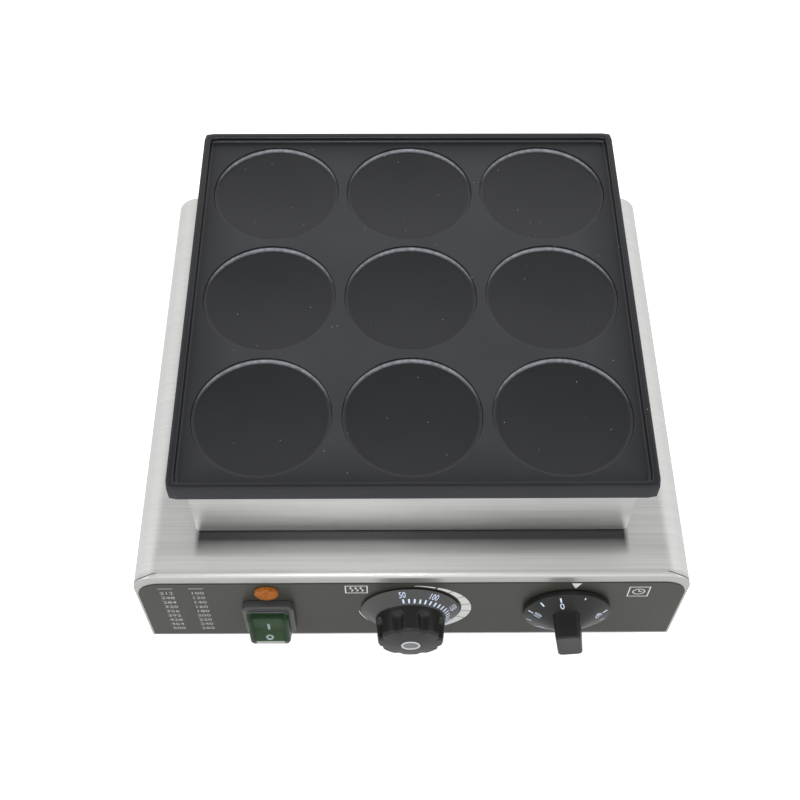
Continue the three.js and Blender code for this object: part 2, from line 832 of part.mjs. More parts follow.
function bulbClip() {
  const inside = bulbRadius + seatGap;
  const outside = inside + clipWall;
  const outline = new THREE.Shape();
  outline.moveTo(-outside - clipFoot, 0);
  outline.lineTo(-outside - clipFoot, -clipWall);
  outline.lineTo(-outside, -clipWall);
  outline.absarc(0, -bulbRadius, outside, 2 * quarterTurn, 4 * quarterTurn);
  outline.lineTo(outside, -clipWall);
  outline.lineTo(outside + clipFoot, -clipWall);
  outline.lineTo(outside + clipFoot, 0);
  outline.lineTo(inside, 0);
  outline.absarc(0, -bulbRadius, inside, 4 * quarterTurn, 2 * quarterTurn, true);
  outline.lineTo(-inside, 0);
  return prismAlongX(outline, -clipWidth / 2, clipWidth / 2);
}

addTo(machine, "bulb_clip", bulbClip(), plainSteel(), bulbCentreX, -studY, plateUnderZ - seatGap);

// Controls, in the front face's own frame: X to the right, Y up from the casing's lower edge, Z out
const behindPanel = -sheet - seatGap;

function controlBody(width, height, depth) {
  const block = slab([-width / 2, width / 2], [-height / 2, height / 2], [behindPanel - depth, behindPanel]);
  const shaftBore = bar(
    holeFor(shaftRadius), behindPanel - shaftInControl - seatGap, behindPanel + overrun,
  );
  const screwBores = [-1, 1].map((side) => moved(
    bar(holeFor(screwRadius), behindPanel - controlScrewReach - seatGap, behindPanel + overrun, smallSides),
    side * controlScrewOffset, 0, 0,
  ));
  return cut(block, shaftBore, screwBores);
}

function controlScrew() {
  const start = filmFront + seatGap;
  return join(
    bar(controlScrewHeadRadius, start, start + controlScrewHeadHeight, smallSides),
    bar(screwRadius, behindPanel - controlScrewReach, start + controlScrewHeadHeight / 2, smallSides),
  );
}

function addControl(name, x, height, size) {
  const shaft = bar(shaftRadius, behindPanel - shaftInControl, knobBack + shaftInKnob);
  addTo(panel, `${name}_body`, controlBody(...size), darkPlastic(), x, height);
  addTo(panel, `${name}_shaft`, shaft, plainSteel(), x, height);
  addTo(panel, `${name}_screw_left`, controlScrew(), plainSteel(), x - controlScrewOffset, height);
  addTo(panel, `${name}_screw_right`, controlScrew(), plainSteel(), x + controlScrewOffset, height);
}

addControl("thermostat", dialX, dialHeight, [thermostatWidth, thermostatHeight, thermostatDepth]);
addControl("timer", timerX, timerHeight, [timerWidth, timerBodyHeight, timerDepth]);

// Underside of a knob: a boss round the shaft and a ring-shaped hollow over the fixing screws
function knobUnderside() {
  const floor = knobBack + knobHollowDepth;
  return [
    [0, knobBack],
    [knobBossRadius, knobBack],
    [knobBossRadius, floor],
    [knobHollowRadius, floor],
    [knobHollowRadius, knobBack],
  ];
}

const knobBore = bar(holeFor(shaftRadius), knobBack - overrun, knobBack + shaftInKnob + seatGap);

// Temperature knob: a conical skirt with a fluted grip, and a plain cap let into its crowned face
const knobCapSunk = knobCapThickness - knobCapProud;
const knobCrown = temperatureKnobReach + knobCrownRise;
const capFace = knobCrown + knobCapProud;

function temperatureKnob() {
  const face = temperatureKnobReach;
  const body = turned([
    ...knobUnderside(),
    [temperatureSkirtRadius, knobBack],
    [temperatureSkirtRadius, knobBack + temperatureSkirtEdge],
    [temperatureGripRadius, temperatureGripStart],
    [temperatureGripRadius - temperatureGripTaper, face - temperatureKnobChamfer],
    [temperatureGripRadius - temperatureGripTaper - temperatureKnobChamfer, face],
    [knobCrownRadius, knobCrown],
    [0, knobCrown],
  ]);
  const flutes = [...Array(fluteCount).keys()].map((i) => {
    const angle = ((i + 1 / 2) * 2 * Math.PI) / fluteCount;
    return moved(
      bar(fluteRadius, temperatureGripStart + fluteStart, face + overrun, fluteSides),
      fluteCentreRadius * Math.cos(angle), fluteCentreRadius * Math.sin(angle), 0,
    );
  });
  const capSeat = bar(
    knobCapRadius + seatGap, knobCrown - knobCapSunk - seatGap, knobCrown + overrun, knobSides / 2,
  );
  return cut(body, flutes, capSeat, knobBore);
}

addTo(panel, "temperature_knob", temperatureKnob(), darkPlastic(), dialX, dialHeight);
addTo(
  panel, "temperature_knob_cap",
  bar(knobCapRadius, knobCrown - knobCapSunk, capFace, knobSides / 2),
  finish(0xb8bcc0, 0.3, 1), dialX, dialHeight,
);

// Timer knob: a conical skirt with a bar grip across it, which leans to the left at rest
function timerKnob() {
  const edgeFront = knobBack + timerSkirtEdge;
  const skirt = turned([
    ...knobUnderside(),
    [timerSkirtRadius, knobBack],
    [timerSkirtRadius, edgeFront - timerSkirtChamfer],
    [timerSkirtRadius - timerSkirtChamfer, edgeFront],
    [timerConeRadius, edgeFront + timerConeRise],
    [0, edgeFront + timerConeRise],
  ]);
  const [x, y, c] = [timerGripWidth / 2, timerGripLength / 2, timerGripChamfer];
  const outline = polygon([
    [x, y - c], [x - c, y], [-x + c, y], [-x, y - c], [-x, -y + c], [-x + c, -y], [x - c, -y], [x, -y + c],
  ]);
  const grip = prism(outline, edgeFront, timerKnobReach).rotateZ(timerRestTurn * degree);
  return cut(join(skirt, grip), knobBore);
}

addTo(panel, "timer_knob", timerKnob(), darkPlastic(), timerX, timerHeight);

// Pilot lamp: a barrel with a retaining collar behind the sheet, and a domed lens in front
const lampBack = behindPanel - lampBarrelLength;
const lampBody = join(
  bar(lampBarrelRadius, lampBack, filmFront),
  bar(lampCollarRadius, behindPanel - lampCollarHeight, behindPanel),
);
addTo(panel, "lamp_body", lampBody, darkPlastic(), lampX, lampHeight);

const lensBack = filmFront + seatGap;
const lensDome = [...Array(domeSteps + 1).keys()].map((i) => {
  const angle = (i / domeSteps) * quarterTurn;
  const rise = lampLensHeight - lampLensBase;
  return [
    i === domeSteps ? 0 : lampLensRadius * Math.cos(angle),
    lensBack + lampLensBase + rise * Math.sin(angle),
  ];
});
const lens = turned([[0, lensBack], [lampLensRadius, lensBack], ...lensDome], holeSides);
addTo(panel, "lamp_lens", lens, finish(0xd98a2b, 0.3, 0), lampX, lampHeight);

// Rocker switch: a case with a bezel and a well, and connection tabs at its back
const switchSeat = filmFront + seatGap;
const bezelFront = switchSeat + switchBezelHeight;

function switchCase() {
  const [x, y] = [switchOuterWidth / 2, switchOuterLength / 2];
  const back = behindPanel - switchDepth;
  const block = slab([-x, x], [-y, y], [back, bezelFront]);
  const bezelCorner = bootCorner - bootWall - seatGap;
  const bezel = prism(roundedOutline(bezelWidth, bezelLength, bezelCorner), switchSeat, bezelFront);
  const well = slab([-switchWellWidth / 2, switchWellWidth / 2],
    [-switchWellLength / 2, switchWellLength / 2],
    [bezelFront - switchBezelHeight - switchWellDepth, bezelFront + overrun]);
  const tabs = [-1, 1].flatMap((side) => [-1, 1].map((end) => slab(
    [side * switchTabOffset - switchTabThickness / 2, side * switchTabOffset + switchTabThickness / 2],
    [end * switchTabOffset - switchTabWidth / 2, end * switchTabOffset + switchTabWidth / 2],
    [back - switchTabLength, back + switchTabThickness],
  )));
  return cut(join(block, bezel, tabs), well);
}

addTo(panel, "switch_body", switchCase(), darkPlastic(), switchX, switchHeight);

// Rocker: a shallow V that tips about a pin across the well. At rest its upper half is pressed in.
function rocker() {
  const half = rockerLength / 2;
  const tip = rockerRise + half * Math.tan(rockerTilt * degree);
  const outline = polygon([
    [-half, tip],
    [-half * rockerWaistShare, rockerWaistRise],
    [-half * rockerSkirtShare, -rockerSkirtDepth],
    [half * rockerSkirtShare, -rockerSkirtDepth],
    [half * rockerWaistShare, rockerWaistRise],
    [half, tip],
    [0, rockerRise],
  ]);
  return prismAlongX(outline, -rockerWidth / 2, rockerWidth / 2).translate(0, 0, rockerPivotDepth);
}

const rockerPiece = addTo(
  panel, "switch_rocker", rocker(), finish(0x2f5a3a, 0.4, 0), switchX, switchHeight, -rockerPivotDepth,
);
rockerPiece.rotation.x = -rockerTilt * degree;

// Clear splash boot: a thick rim round the bezel and a hollow cover over the rocker
function switchBoot() {
  const insideWidth = bezelWidth + 2 * seatGap;
  const insideLength = bezelLength + 2 * seatGap;
  const cover = prism(
    roundedOutline(insideWidth + 2 * bootWall, insideLength + 2 * bootWall, bootCorner),
    switchSeat, bootReach,
  );
  const flange = prism(
    roundedOutline(bootFlangeWidth, bootFlangeLength, bootFlangeCorner),
    switchSeat, switchSeat + bootFlangeThickness,
  );
  const room = prism(
    roundedOutline(insideWidth, insideLength, bootCorner - bootWall),
    switchSeat - overrun, bootReach - bootWall,
  );
  return cut(join(cover, flange), room);
}

addTo(panel, "switch_boot", switchBoot(), finish(0x8fa39a, 0.2, 0), switchX, switchHeight);

// Terminal block on the base plate, with wire entries on two sides
const blockY = rearFaceY - blockToRear;
const blockBottomZ = baseTopZ + seatGap;

function terminalBlock() {
  const block = slab([-blockWidth / 2, blockWidth / 2], [-blockDepth / 2, blockDepth / 2], [0, blockHeight]);
  const pitch = blockWidth / blockWays;
  const entries = [...Array(blockWays).keys()].flatMap((i) => [-1, 1].map((end) =>
    bar(blockWayRadius, -blockWayDepth, overrun, smallSides)
      .rotateX(-end * quarterTurn)
      .translate((i - (blockWays - 1) / 2) * pitch, (end * blockDepth) / 2, blockHeight / 2)));
  return cut(block, entries);
}

addTo(machine, "terminal_block", terminalBlock(), finish(0xe6e1d4, 0.5, 0), blockX, blockY, blockBottomZ);

// Cable gland through the rear panel with its locknut inside, and the earth screw beside it
function gland() {
  const hexFrom = seatGap;
  const hexTo = hexFrom + glandHexHeight;
  const dome = turned([
    [0, hexTo - glandHexHeight / 2],
    [glandDomeRadius, hexTo - glandHexHeight / 2],
    [glandDomeRadius, hexTo + glandDomeHeight / 2],
    [glandBoreRadius + glandDomeRadius / 4, hexTo + glandDomeHeight],
    [0, hexTo + glandDomeHeight],
  ], footSides);
  const barrel = bar(glandBarrelRadius, -sheet - glandBarrelInside, hexFrom + glandHexHeight / 2);
  const hex = bar(glandHexRadius, hexFrom, hexTo, hexSides);
  const bore = bar(glandBoreRadius, -sheet - glandBarrelInside - overrun, hexTo + glandDomeHeight + overrun);
  return cut(join(barrel, hex, dome), bore);
}

const rear = new THREE.Group();
rear.position.set(0, rearFaceY, bodyBottomZ);
rear.rotation.x = -quarterTurn;
machine.add(rear);
addTo(rear, "cable_gland", gland(), darkPlastic(), glandX, -glandHeight);
const glandNut = cut(
  bar(glandHexRadius, behindPanel - glandNutHeight, behindPanel, hexSides),
  bar(holeFor(glandBarrelRadius), behindPanel - glandNutHeight - overrun, behindPanel + overrun),
);
addTo(rear, "gland_nut", glandNut, darkPlastic(), glandX, -glandHeight);
const earthScrew = join(
  bar(earthHeadRadius, seatGap, seatGap + earthHeadHeight, hexSides),
  bar(earthScrewRadius, -earthReach, seatGap + earthHeadHeight / 2, smallSides),
);
addTo(rear, "earth_screw", earthScrew, finish(0xb59a55, 0.4, 1), earthX, -earthHeight);

// Leads from the terminal block to one end of each element: ferrules under the element ends,
// joined by a rail, and a run along the casing's floor
const ferruleTopZ = elementEndZ - seatGap;
const railZ = ferruleTopZ - ferruleLength;
const blockWireZ = blockBottomZ + blockHeight / 2;

function elementLead(side, legs, way) {
  const railX = -elementDropX + side * busOffset;
  const ferrules = legs.map((y) => moved(
    bar(ferruleRadius, railZ - leadRadius, ferruleTopZ, tubeSides), -elementDropX, y, 0,
  ));
  const links = legs.map((y) => slab(
    [Math.min(railX, -elementDropX), Math.max(railX, -elementDropX)],
    [y - leadRadius, y + leadRadius],
    [railZ - leadRadius, railZ + leadRadius],
  ));
  const first = Math.min(...legs) - leadRadius;
  const last = Math.max(...legs) + leadRadius;
  const rail = slab(
    [railX - leadRadius, railX + leadRadius], [first, last], [railZ - leadRadius, railZ + leadRadius],
  );
  const wayX = blockX + (way - (blockWays - 1) / 2) * (blockWidth / blockWays);
  const blockFrontY = blockY - blockDepth / 2 - seatGap;
  const laneY = blockFrontY - (way + 1) * leadLane;
  const run = bentTube([
    [railX, laneY, railZ],
    [railX, laneY, blockWireZ],
    [wayX, laneY, blockWireZ],
    [wayX, blockFrontY, blockWireZ],
  ], leadBend, leadRadius);
  return join(rail, ...ferrules, ...links, run);
}

const liveLegs = elementLegs.filter((_, i) => i % 2 === 0);
const neutralLegs = elementLegs.filter((_, i) => i % 2 === 1);
addTo(machine, "element_lead_live", elementLead(-1, liveLegs, 0), finish(0x7a3b26, 0.7, 0));
addTo(machine, "element_lead_neutral", elementLead(1, neutralLegs, 1), finish(0x2d4a7a, 0.7, 0));

// Loom from the terminal block to the four controls: a trunk, a cross run and a stub to each
function controlLoom() {
  const loomZ = bodyBottomZ + dialHeight - loomRise;
  const crossY = frontY + sheet + seatGap + timerDepth + loomSetback;
  const stubs = [
    [switchX, switchDepth + switchTabLength, switchHeight],
    [lampX, lampBarrelLength, lampHeight],
    [dialX + thermostatWidth / 3, thermostatDepth, dialHeight - thermostatHeight / 3],
    [timerX, timerDepth, timerHeight],
  ].map(([x, depth, height]) => {
    const end = frontY + sheet + seatGap + depth + seatGap;
    const z = bodyBottomZ + height;
    return bentTube([[x, end, z], [x, crossY, z], [x, crossY, loomZ]], leadBend, loomRadius / 2);
  });
  const cross = bar(loomRadius, switchX - loomRadius, timerX + loomRadius, tubeSides)
    .rotateY(quarterTurn)
    .translate(0, crossY, loomZ);
  const wayX = blockX + blockWidth / blockWays;
  const blockFrontY = blockY - blockDepth / 2 - seatGap;
  const middleY = (blockFrontY + crossY) / 2;
  const trunk = bentTube([
    [wayX, blockFrontY, blockWireZ],
    [wayX, middleY, blockWireZ],
    [wayX, middleY, loomZ],
    [wayX, crossY, loomZ],
  ], leadBend, loomRadius, tubeSides);
  return join(cross, trunk, ...stubs);
}

addTo(machine, "control_loom", controlLoom(), finish(0x3a3a3c, 0.7, 0));

export default griddle;
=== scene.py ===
import math

import bmesh
import bpy
from mathutils import Matrix, Vector


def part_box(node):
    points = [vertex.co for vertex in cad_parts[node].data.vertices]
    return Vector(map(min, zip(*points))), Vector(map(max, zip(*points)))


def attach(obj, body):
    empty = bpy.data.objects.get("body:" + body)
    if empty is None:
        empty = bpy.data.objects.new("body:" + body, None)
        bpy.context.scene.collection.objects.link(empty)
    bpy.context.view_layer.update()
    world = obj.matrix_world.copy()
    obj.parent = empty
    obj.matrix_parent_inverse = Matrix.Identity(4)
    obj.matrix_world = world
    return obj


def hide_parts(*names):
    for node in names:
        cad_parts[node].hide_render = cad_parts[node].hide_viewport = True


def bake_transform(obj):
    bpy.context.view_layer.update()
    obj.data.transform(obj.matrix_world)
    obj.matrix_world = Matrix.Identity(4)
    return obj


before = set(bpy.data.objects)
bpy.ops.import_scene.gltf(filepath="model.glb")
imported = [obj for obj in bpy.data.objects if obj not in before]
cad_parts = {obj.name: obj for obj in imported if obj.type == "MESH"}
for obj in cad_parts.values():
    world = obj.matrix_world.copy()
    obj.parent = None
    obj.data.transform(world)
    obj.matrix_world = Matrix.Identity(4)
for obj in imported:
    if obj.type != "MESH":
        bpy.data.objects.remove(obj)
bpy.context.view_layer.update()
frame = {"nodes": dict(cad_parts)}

# Setting
# The griddle stands on a pale floor, seen from in front and above. Pale walls glow all round
# up to about the camera's height, the ceiling behind it is dimmer, and four soft lamps stand in front.
mm = 0.001
scene = bpy.context.scene
scene.view_settings.view_transform = "Standard"


def on_show(name, data):
    """An object in the scene, for a mesh, a lens, a lamp or a text."""
    thing = bpy.data.objects.new(name, data)
    scene.collection.objects.link(thing)
    return thing


camera_lens = bpy.data.cameras.new("camera")
camera_lens.sensor_width = 36
camera_lens.lens = 54.15
camera = on_show("camera", camera_lens)
scene.camera = camera
yaw, dip, roll = (math.radians(turn) for turn in (0.744, -56.588, 0.443))
ahead = Vector((math.sin(yaw) * math.cos(dip), math.cos(yaw) * math.cos(dip), math.sin(dip)))
level = Vector((math.cos(yaw), -math.sin(yaw), 0))
upward = level.cross(ahead)
across = math.cos(roll) * level + math.sin(roll) * upward
upright = math.cos(roll) * upward - math.sin(roll) * level
looking = Matrix((across, upright, -ahead)).transposed().to_4x4()
camera.matrix_world = Matrix.Translation(Vector((-11.8, -442.5, 737.7)) * mm) @ looking


def add_node(tree, kind, inputs=None, **settings):
    """A node in a tree, with its settings, and its inputs given as values or as other nodes' outputs."""
    node = tree.nodes.new(kind)
    for name, value in settings.items():
        setattr(node, name, value)
    for key, value in (inputs or {}).items():
        if isinstance(value, bpy.types.NodeSocket):
            tree.links.new(value, node.inputs[key])
        else:
            node.inputs[key].default_value = value
    return node


def reckoned(tree, operation, *numbers):
    """What a sum of this kind makes of one to three numbers."""
    return add_node(tree, "ShaderNodeMath", dict(enumerate(numbers)), operation=operation).outputs[0]


def ramp(tree, value, start, end, at_start=0.0, at_end=1.0, ease="LINEAR"):
    """A value that goes from one level to another between a start and an end, and stays there."""
    return add_node(tree, "ShaderNodeMapRange", {
        "Value": value, "From Min": start, "From Max": end, "To Min": at_start, "To Max": at_end,
    }, interpolation_type=ease).outputs[0]


def parts_of(tree, vector):
    """A vector's X, Y and Z."""
    return add_node(tree, "ShaderNodeSeparateXYZ", {0: vector}).outputs


def between(tree, amount, low_value, high_value):
    """A value or a colour between two, by an amount from 0 to 1."""
    ends = [(*end, 1) if isinstance(end, tuple) else end for end in (low_value, high_value)]
    coloured = any(isinstance(end, tuple) or getattr(end, "type", "") == "RGBA" for end in ends)
    kind, first, result = ("RGBA", 6, 2) if coloured else ("FLOAT", 2, 0)
    mixed = {0: amount, first: ends[0], first + 1: ends[1]}
    return add_node(tree, "ShaderNodeMix", mixed, data_type=kind).outputs[result]


def blank_material(name, metallic=0.0, roughness=0.5):
    """A material with its Principled shader, its tree, and a short way to wire the shader's inputs."""
    material = bpy.data.materials.new(name)
    material.use_nodes = True
    shader = material.node_tree.nodes["Principled BSDF"]
    shader.inputs["Metallic"].default_value = metallic
    shader.inputs["Roughness"].default_value = roughness

    def wire(socket, value):
        material.node_tree.links.new(value, shader.inputs[socket])

    return material, material.node_tree, shader, wire


def seen_directly(tree):
    """The kinds of ray, and 1 for camera and see-through rays, 0 for the light that falls on things."""
    rays = add_node(tree, "ShaderNodeLightPath").outputs
    return rays, reckoned(tree, "MAXIMUM", rays["Is Camera Ray"], rays["Is Transmission Ray"])


walls = bpy.data.worlds.new("studio walls")
walls.use_nodes = True
scene.world = walls
tree = walls.node_tree
tree.nodes.clear()
towards = parts_of(tree, add_node(tree, "ShaderNodeTexCoord").outputs["Generated"])
overhead = ramp(tree, towards["Z"], 0.66, 0.95, ease="SMOOTHSTEP")
rearward = ramp(tree, towards["Y"], -0.25, 0.25, ease="SMOOTHSTEP")
glow = ramp(tree, reckoned(tree, "MULTIPLY", overhead, rearward), 0.0, 1.0, 1.0, 0.4)
strength = between(tree, seen_directly(tree)[1], glow, 1.0)
background = add_node(tree, "ShaderNodeBackground", {"Color": (1, 1, 1, 1), "Strength": strength})
add_node(tree, "ShaderNodeOutputWorld", {"Surface": background.outputs[0]})

for name, place, size, power in (
    ("softbox left", (-1.5, -1.1, 0.95), (0.9, 0.9), 4.5),
    ("softbox right", (1.6, -0.9, 0.8), (0.9, 0.9), 3.5),
    ("softbox front", (0.1, -1.9, 0.8), (1.5, 0.7), 2.5),
    ("softbox above", (-0.15, -1.25, 1.8), (0.5, 0.16), 4),
):
    lamp = bpy.data.lights.new(name, "AREA")
    lamp.shape = "RECTANGLE"
    lamp.size, lamp.size_y = size
    lamp.energy = power
    holder = on_show(name, lamp)
    holder.location = place
    aim = Vector((0, 0, 0.1)) - holder.location
    holder.rotation_euler = aim.to_track_quat("-Z", "Y").to_euler()

floor_mesh = bpy.data.meshes.new("floor")
floor_mesh.from_pydata([(-4, -4, 0), (4, -4, 0), (4, 4, 0), (-4, 4, 0)], [], [(0, 1, 2, 3)])
floor = on_show("floor", floor_mesh)
paper, tree, shader, wire = blank_material("floor paper", roughness=0.9)
fibre = add_node(tree, "ShaderNodeTexNoise", {"Scale": 60.0, "Detail": 2.0}).outputs["Fac"]
wire("Base Color", between(tree, fibre, (0.88, 0.88, 0.88), (0.9, 0.9, 0.9)))
rays, direct = seen_directly(tree)
mirrored = reckoned(tree, "MULTIPLY", rays["Is Glossy Ray"], 0.03)
wire("Emission Strength", reckoned(tree, "MULTIPLY_ADD", direct, 0.5, mirrored))
shader.inputs["Emission Color"].default_value = (1, 1, 1, 1)
floor_mesh.materials.append(paper)

# Casing
# One sheet of brushed stainless steel: its sides are rolled over, and a flap is folded down at
# the front. The flap's two upper corners meet the rolled shoulders in a fine open seam.


def limits(node):
    """A CAD node's lowest and highest corner, in millimetres."""
    return [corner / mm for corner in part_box(node)]


def spin(degrees, axis="Z"):
    return Matrix.Rotation(math.radians(degrees), 4, axis)


def upright_frame(y, z, degrees):
    """From millimetres on an upright face, with Z out of it, to the griddle's own metres."""
    return Matrix.Translation(Vector((0, y, z)) * mm) @ spin(degrees, "X") @ Matrix.Scale(mm, 4)


low, high = limits("body_shell")
sheet = 1.2
half_width = high.x
front_y, rear_y = low.y, high.y
casing_bottom, casing_top = low.z, high.z
shoulder_radius, shoulder_steps = 16.0, 14
fold_radius, fold_steps = 2.5, 6
seam_width = 0.5
panel_frame = upright_frame(front_y, casing_bottom, 90)
world_frame = Matrix.Scale(mm, 4)


def object_place(tree):
    return add_node(tree, "ShaderNodeTexCoord").outputs["Object"]


def face_slope(tree, axis):
    """How far a face looks along an axis."""
    return parts_of(tree, add_node(tree, "ShaderNodeNewGeometry").outputs["Normal"])[axis]


def noise(tree, place, scale, detail):
    cloudy = {"Vector": place, "Scale": scale, "Detail": detail}
    return add_node(tree, "ShaderNodeTexNoise", cloudy).outputs["Fac"]


def raised(tree, height, depth):
    """The normals of a fine relief."""
    relief = {"Height": height, "Distance": depth, "Strength": 1.0}
    return add_node(tree, "ShaderNodeBump", relief).outputs[0]


def vectored(tree, operation, *vectors):
    return add_node(tree, "ShaderNodeVectorMath", dict(enumerate(vectors)), operation=operation).outputs[0]


def new_group(name, kind, inputs, outputs):
    """An empty group of nodes with named sockets, and what is given to it."""
    group = bpy.data.node_groups.new(name, kind)
    for way, sockets in (("INPUT", inputs), ("OUTPUT", outputs)):
        for socket, value in sockets.items():
            group.interface.new_socket(socket, in_out=way, socket_type="NodeSocket" + value)
    return group, add_node(group, "NodeGroupInput").outputs


def grain_group():
    """Brushed metal: long scratch marks, and blotches left by handling."""
    group, given = new_group("brushed grain", "ShaderNodeTree", {"Frequency": "Vector", "Depth": "Float"},
                             {"Streak": "Float", "Blotch": "Float", "Normal": "Vector"})
    place = object_place(group)
    along = vectored(group, "MULTIPLY", place, given["Frequency"])
    fine = add_node(group, "ShaderNodeVectorMath", {0: along, "Scale": 2.7}, operation="SCALE").outputs[0]
    both = between(group, 0.5, noise(group, along, 1.0, 2.0), noise(group, fine, 1.0, 2.0))
    streak = ramp(group, both, 0.3, 0.7)
    add_node(group, "NodeGroupOutput", {"Streak": streak, "Blotch": noise(group, place, 14.0, 3.0),
                                        "Normal": raised(group, streak, given["Depth"])})
    return group


brushed_grain = grain_group()


def brushed_steel(name, frequency, dark=(0.60, 0.60, 0.59), pale=(0.74, 0.74, 0.73), rough=(0.27, 0.38),
                  grain_runs=None):
    """Brushed steel whose marks are long where the frequency, in waves per metre, is low. Its shine
    spreads across the marks: over the edge of a folded sheet, or up and down on an upright wall."""
    material, tree, shader, wire = blank_material(name, metallic=1.0)
    if grain_runs:
        over_the_fold = {"Y": 1.0, "Z": face_slope(tree, "Y")}
        run = over_the_fold if grain_runs == "over the fold" else {"Z": 1.0}
        wire("Tangent", add_node(tree, "ShaderNodeCombineXYZ", run).outputs[0])
        shader.inputs["Anisotropic"].default_value = 0.7
    grain = add_node(tree, "ShaderNodeGroup", node_tree=brushed_grain)
    grain.inputs["Frequency"].default_value = frequency
    grain.inputs["Depth"].default_value = 0.000006
    wire("Base Color", between(tree, grain.outputs["Streak"], dark, pale))
    uneven = between(tree, 0.35, grain.outputs["Streak"], grain.outputs["Blotch"])
    wire("Roughness", between(tree, uneven, *rough))
    wire("Normal", grain.outputs["Normal"])
    return material


def overlaid(material, mask, colour):
    """Lays a tone over a material's colour where a mask is 1."""
    tree = material.node_tree
    base = tree.nodes["Principled BSDF"].inputs["Base Color"]
    tree.links.new(between(tree, mask, base.links[0].from_socket, colour), base)


def worked(mesh, step):
    """A mesh after a step of work on its points and faces."""
    work = bmesh.new()
    work.from_mesh(mesh)
    step(work)
    work.to_mesh(mesh)
    work.free()
    return mesh


def merged(mesh, distance):
    return worked(mesh, lambda work: bmesh.ops.remove_doubles(work, verts=work.verts, dist=distance))


def turned_out(mesh):
    return worked(mesh, lambda work: bmesh.ops.recalc_face_normals(work, faces=work.faces))


def skin(name, points, faces):
    mesh = bpy.data.meshes.new(name)
    mesh.from_pydata(points, [], faces)
    return merged(mesh, 0.0001)


def settled(rough):
    """The shape that an object's modifiers give it, as a plain mesh. The object itself is taken away."""
    graph = bpy.context.evaluated_depsgraph_get()
    mesh = bpy.data.meshes.new_from_object(rough.evaluated_get(graph), depsgraph=graph)
    bpy.data.objects.remove(rough)
    return mesh


def thickened(mesh, thickness):
    """A sheet of a thickness that lies behind the skin's outer face."""
    rough = on_show("sheet", mesh)
    wall = rough.modifiers.new("thickness", "SOLIDIFY")
    wall.thickness = thickness
    wall.offset = -1
    wall.use_even_offset = True
    return settled(rough)


def combined(mesh, other, way="DIFFERENCE"):
    """One closed mesh cut by another, or joined with it."""
    rough, tool = on_show("blank", mesh), on_show("tool", other)
    step = rough.modifiers.new(way.lower(), "BOOLEAN")
    step.operation = way
    step.solver = "EXACT"
    step.object = tool
    mesh = settled(rough)
    bpy.data.objects.remove(tool)
    return mesh


def together(*meshes):
    work = bmesh.new()
    for mesh in meshes:
        work.from_mesh(mesh)
    whole = bpy.data.meshes.new("set")
    work.to_mesh(whole)
    work.free()
    return whole


def shifted(mesh, x, y, z=0.0, scale=(1, 1, 1)):
    mesh.transform(Matrix.Translation((x, y, z)) @ Matrix.Diagonal((*scale, 1)))
    return mesh


def fitted(name, mesh, place, body, slot, material, *nodes, smooth=35):
    """Puts a finished mesh on the griddle: its place, its smoothness, its material, its body, where it
    is on one body alone, and the nodes that it stands for."""
    mesh.transform(place)
    mesh.materials.clear()
    mesh.materials.append(material)
    mesh.shade_smooth()
    mesh.set_sharp_from_angle(angle=math.radians(smooth))
    piece = on_show(name, mesh)
    if body:
        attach(piece, body)
    if nodes:
        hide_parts(*nodes)
    return piece


def arc(centre, radius, start, end, steps):
    """Points on an arc, from one angle to another in degrees, both ends included."""
    turns = [math.radians(start + (end - start) * i / steps) for i in range(steps + 1)]
    return [(centre[0] + radius * math.cos(t), centre[1] + radius * math.sin(t)) for t in turns]


def quarter(steps):
    """A rounded edge's way, as shares of its radius: 0 to 1 across it, and 1 to 0 along it."""
    turns = [math.radians(90 * step / steps) for step in range(steps + 1)]
    return [(1 - math.cos(turn), 1 - math.sin(turn)) for turn in turns]


def circle(radius, z, sides):
    turns = [2 * math.pi * i / sides for i in range(sides)]
    return [(radius * math.cos(turn), radius * math.sin(turn), z) for turn in turns]


def block(x, y, z):
    corners = [(x[i], y[j], z[k]) for k in (0, 1) for j in (0, 1) for i in (0, 1)]
    faces = [(0, 2, 3, 1), (4, 5, 7, 6), (0, 1, 5, 4), (1, 3, 7, 5), (3, 2, 6, 7), (2, 0, 4, 6)]
    return skin("block", corners, faces)


def lofted(rings, ends=True):
    """A skin through closed rings of equally many points, counterclockwise and from bottom to top."""
    count = len(rings[0])
    points = [point for ring in rings for point in ring]
    faces = []
    for base in range(0, len(points) - count, count):
        faces += [(base + i, base + (i + 1) % count, base + count + (i + 1) % count, base + count + i)
                  for i in range(count)]
    if ends:
        faces.append(tuple(reversed(range(count))))
        faces.append(tuple(range(len(points) - count, len(points))))
    mesh = bpy.data.meshes.new("loft")
    mesh.from_pydata(points, [], faces)
    return mesh


def turned(profile, sides=72):
    """A turned piece on Z, from (radius, height) pairs that start at the middle of its underside."""
    return lofted([circle(radius, z, sides) for radius, z in profile])


def casing_outline():
    """The front's outline from lower left over the top to lower right: x, z and the way outward."""
    inner = half_width - shoulder_radius
    rise = casing_top - shoulder_radius
    row = [(-half_width, casing_bottom, -1, 0)]
    for side, start in ((-1, 180), (1, 90)):
        for x, z in arc((side * inner, rise), shoulder_radius, start, start - 90, shoulder_steps):
            row.append((x, z, (x - side * inner) / shoulder_radius, (z - rise) / shoulder_radius))
    return row + [(half_width, casing_bottom, 1, 0)]


outline = casing_outline()
top_from, top_to = shoulder_steps + 1, shoulder_steps + 2
fold_taper = [fold_radius, 2.42, 2.15, 1.75, 1.3, 0.95, 0.75, 0.65, 0.6]
casing_points, casing_faces = [], []


def casing_row(points):
    start = len(casing_points)
    casing_points.extend(points)
    return start


def casing_strip(near, far, points):
    casing_faces.extend((near + i, near + i + 1, far + i + 1, far + i) for i in range(points - 1))


